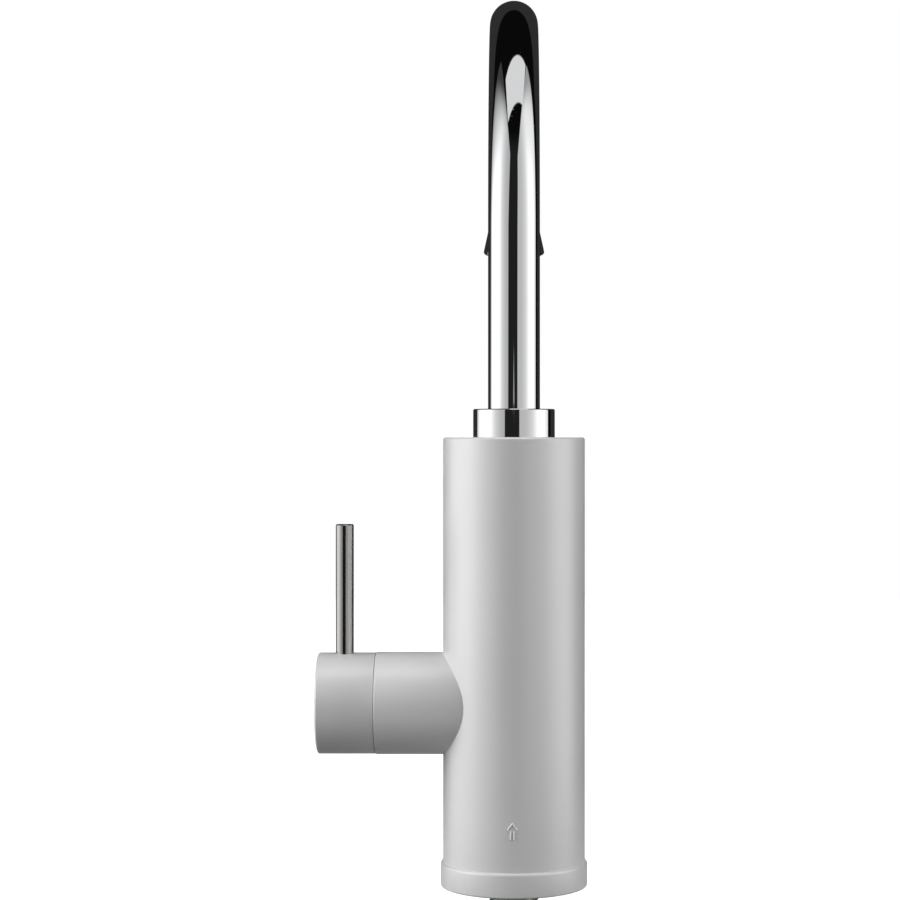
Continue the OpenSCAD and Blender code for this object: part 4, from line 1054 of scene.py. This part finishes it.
def floor_material():
    """White floor that keeps the tap's shadow, meets the white background and lets far mirror rays by."""
    tree = MaterialTree("Studio floor")
    path = tree.node("ShaderNodeLightPath").outputs
    seen, mirrored = Term(tree, path["Is Camera Ray"]), Term(tree, path["Is Glossy Ray"])
    dim, pale = (0.06, 0.06, 0.06, 1), (0.62, 0.62, 0.62, 1)
    shown = tree.blend(seen, dim, pale)
    paint = tree.node("ShaderNodeBsdfDiffuse", {"Color": shown})
    lit = tree.calc("MAXIMUM", seen, tree.calc("MAXIMUM", path["Is Transmission Ray"], mirrored * 0.3))
    spot = tree.node("ShaderNodeNewGeometry").outputs["Position"]
    away = tree.term("ShaderNodeVectorMath", "Value", {0: spot}, operation="LENGTH")
    glow = tree.node("ShaderNodeEmission", {
        "Color": (1, 1, 1, 1), "Strength": lit * tree.ramp(away, 0.45, 1.3, start=0.74)})
    both = tree.node("ShaderNodeAddShader", {0: paint, 1: glow})
    clear = tree.node("ShaderNodeBsdfTransparent")
    return tree.show(tree.node("ShaderNodeMixShader", {
        0: mirrored * tree.ramp(away, 0.36, 0.60), 1: both, 2: clear}))


def staged(name, bm, material):
    """Links a piece of the stage."""
    mesh = mesh_from(name, bm)
    mesh.materials.append(material)
    obj = link(name, mesh)
    return obj


def make_tent(studio):
    """A round closed tent of light that only reflections and soft light see."""
    bm = bmesh.new()
    bmesh.ops.create_uvsphere(bm, u_segments=72, v_segments=36, radius=TENT_RADIUS)
    bmesh.ops.reverse_faces(bm, faces=bm.faces)
    bmesh.ops.translate(bm, verts=bm.verts, vec=TENT_CENTRE)
    tent = staged("light_tent", bm, tent_material(studio))
    tent.visible_camera = False
    tent.visible_shadow = False


def make_floor():
    """A round floor half a millimetre under the lowest solid."""
    bm = bmesh.new()
    bmesh.ops.create_circle(bm, cap_ends=True, segments=96, radius=FLOOR_RADIUS,
                            matrix=Matrix.Translation((0, 0, CAD_BOX[0].z - 0.5 * MM)))
    staged("studio_floor", bm, floor_material())


def make_fill(name, power, spot):
    """A soft lamp that fills the matt surfaces and stays out of the chrome."""
    data = bpy.data.lights.new(name, "AREA")
    data.shape = "DISK"
    data.size = LAMP_SIZE
    data.energy = power
    lamp = link(name, data)
    lamp.location = spot
    lamp.rotation_euler = (LAMP_AIM - lamp.location).to_track_quat("-Z", "Y").to_euler()
    lamp.visible_glossy = False
    lamp.visible_camera = False


def make_world():
    """White for the camera and for reflections, dim for the matt surfaces."""
    world = bpy.data.worlds.new("Studio surround")
    bpy.context.scene.world = world
    world.use_nodes = True
    world.node_tree.nodes.clear()
    tree = Tree(world.node_tree)
    path = tree.node("ShaderNodeLightPath").outputs
    matt = 0.2  # strength that the matt surfaces get
    seen = tree.calc("MAXIMUM", path["Is Camera Ray"],
                     tree.calc("MAXIMUM", path["Is Glossy Ray"], path["Is Transmission Ray"]))
    back = tree.node("ShaderNodeBackground", {"Color": (1, 1, 1, 1), "Strength": seen * (1 - matt) + matt})
    tree.node("ShaderNodeOutputWorld", {"Surface": back})


def make_camera(studio):
    """Level camera behind the tap, shifted so that the casing's axis falls right of the middle."""
    data = bpy.data.cameras.new("Camera")
    data.lens = studio.lens
    data.sensor_width = 36.0
    data.sensor_fit = "HORIZONTAL"
    data.clip_start, data.clip_end = 0.01, 20.0
    data.shift_x = (PICTURE / 2 - AXIS_COLUMN) / PICTURE
    data.shift_y = (EYE_ROW - PICTURE / 2) / PICTURE
    camera = link("Camera", data)
    camera.location = (0, -studio.distance, studio.eye_height)
    camera.rotation_euler = (math.pi / 2, 0, 0)
    bpy.context.scene.camera = camera


# ------------ operators and panel


class TAP_OT_finishes(bpy.types.Operator):
    """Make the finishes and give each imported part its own"""
    bl_idname = "tap.finishes"
    bl_label = "Finishes"

    def execute(self, context):
        make_finishes(context.scene.tap_colours)
        dress_nodes()
        return {"FINISHED"}


class TAP_OT_mouldings(bpy.types.Operator):
    """Fit the casing, the foot ring and the knob together at their seams"""
    bl_idname = "tap.mouldings"
    bl_label = "Casing, ring and knob"

    def execute(self, context):
        make_casing()
        make_ring()
        make_knob()
        return {"FINISHED"}


class TAP_OT_spout(bpy.types.Operator):
    """Build the gooseneck and its bell nozzle"""
    bl_idname = "tap.spout"
    bl_label = "Spout"

    def execute(self, context):
        make_gooseneck(context.scene.tap_sizes)
        make_nozzle(context.scene.tap_sizes)
        return {"FINISHED"}


class TAP_OT_arrow(bpy.types.Operator):
    """Mould the small arrow on the casing"""
    bl_idname = "tap.arrow"
    bl_label = "Moulded arrow"

    def execute(self, context):
        make_arrow(context.scene.tap_sizes)
        return {"FINISHED"}


class TAP_OT_shank(bpy.types.Operator):
    """Turn the threaded shank"""
    bl_idname = "tap.shank"
    bl_label = "Threaded shank"

    def execute(self, context):
        make_shank(context.scene.tap_sizes)
        return {"FINISHED"}


class TAP_OT_fasteners(bpy.types.Operator):
    """Set out the threaded screws and bolts"""
    bl_idname = "tap.fasteners"
    bl_label = "Screws and bolts"

    def execute(self, context):
        make_fasteners()
        return {"FINISHED"}


class TAP_OT_heater(bpy.types.Operator):
    """Wind the heating element and the switch's return spring"""
    bl_idname = "tap.heater"
    bl_label = "Element and spring"

    def execute(self, context):
        make_heater()
        make_spring()
        return {"FINISHED"}


class TAP_OT_leads(bpy.types.Operator):
    """Run the insulated leads and crimp their ends"""
    bl_idname = "tap.leads"
    bl_label = "Wiring"

    def execute(self, context):
        make_leads(context.scene.tap_sizes)
        return {"FINISHED"}


class TAP_OT_stage(bpy.types.Operator):
    """Set up the background, the light tent, the floor, the lamps and the camera"""
    bl_idname = "tap.stage"
    bl_label = "Studio"

    def execute(self, context):
        studio = context.scene.tap_studio
        make_world()
        make_tent(studio)
        make_floor()
        make_fill("front_fill", studio.fill_power, (-0.35, -0.85, 1.85))
        make_fill("crown_fill", studio.crown_power, (-0.25, 0.45, 2.0))
        make_fill("left_fill", studio.side_power, (-1.75, -0.60, 0.85))
        make_fill("right_fill", studio.side_power * RIGHT_SHARE, (1.75, -0.60, 0.85))
        make_camera(studio)
        context.scene.view_settings.view_transform = "Standard"
        return {"FINISHED"}


OPERATORS = (TAP_OT_finishes, TAP_OT_mouldings, TAP_OT_spout, TAP_OT_arrow, TAP_OT_shank,
             TAP_OT_fasteners, TAP_OT_heater, TAP_OT_leads, TAP_OT_stage)


class TAP_PT_panel(bpy.types.Panel):
    """Sizes, colours and steps of the water heater tap"""
    bl_idname = "TAP_PT_panel"
    bl_label = "Water Heater Tap"
    bl_space_type = "VIEW_3D"
    bl_region_type = "UI"
    bl_category = "Tap"

    def draw(self, context):
        layout = self.layout
        for group in (context.scene.tap_sizes, context.scene.tap_colours, context.scene.tap_studio):
            box = layout.box()
            for key in group.bl_rna.properties.keys():
                if key not in {"rna_type", "name"}:
                    box.prop(group, key)
        for operator in OPERATORS:
            layout.operator(operator.bl_idname)


CLASSES = (TapSizes, TapColours, TapStudio, *OPERATORS, TAP_PT_panel)


def register():
    for cls in CLASSES:
        bpy.utils.register_class(cls)
    bpy.types.Scene.tap_sizes = bpy.props.PointerProperty(type=TapSizes)
    bpy.types.Scene.tap_colours = bpy.props.PointerProperty(type=TapColours)
    bpy.types.Scene.tap_studio = bpy.props.PointerProperty(type=TapStudio)


def unregister():
    for name in ("tap_sizes", "tap_colours", "tap_studio"):
        delattr(bpy.types.Scene, name)
    for cls in reversed(CLASSES):
        bpy.utils.unregister_class(cls)


def main():
    register()
    for step in (bpy.ops.tap.finishes, bpy.ops.tap.mouldings, bpy.ops.tap.spout, bpy.ops.tap.arrow,
                 bpy.ops.tap.shank, bpy.ops.tap.fasteners, bpy.ops.tap.heater, bpy.ops.tap.leads,
                 bpy.ops.tap.stage):
        if step() != {"FINISHED"}:
            raise RuntimeError(f"{step} did not finish")


if __name__ == "__main__":
    main()
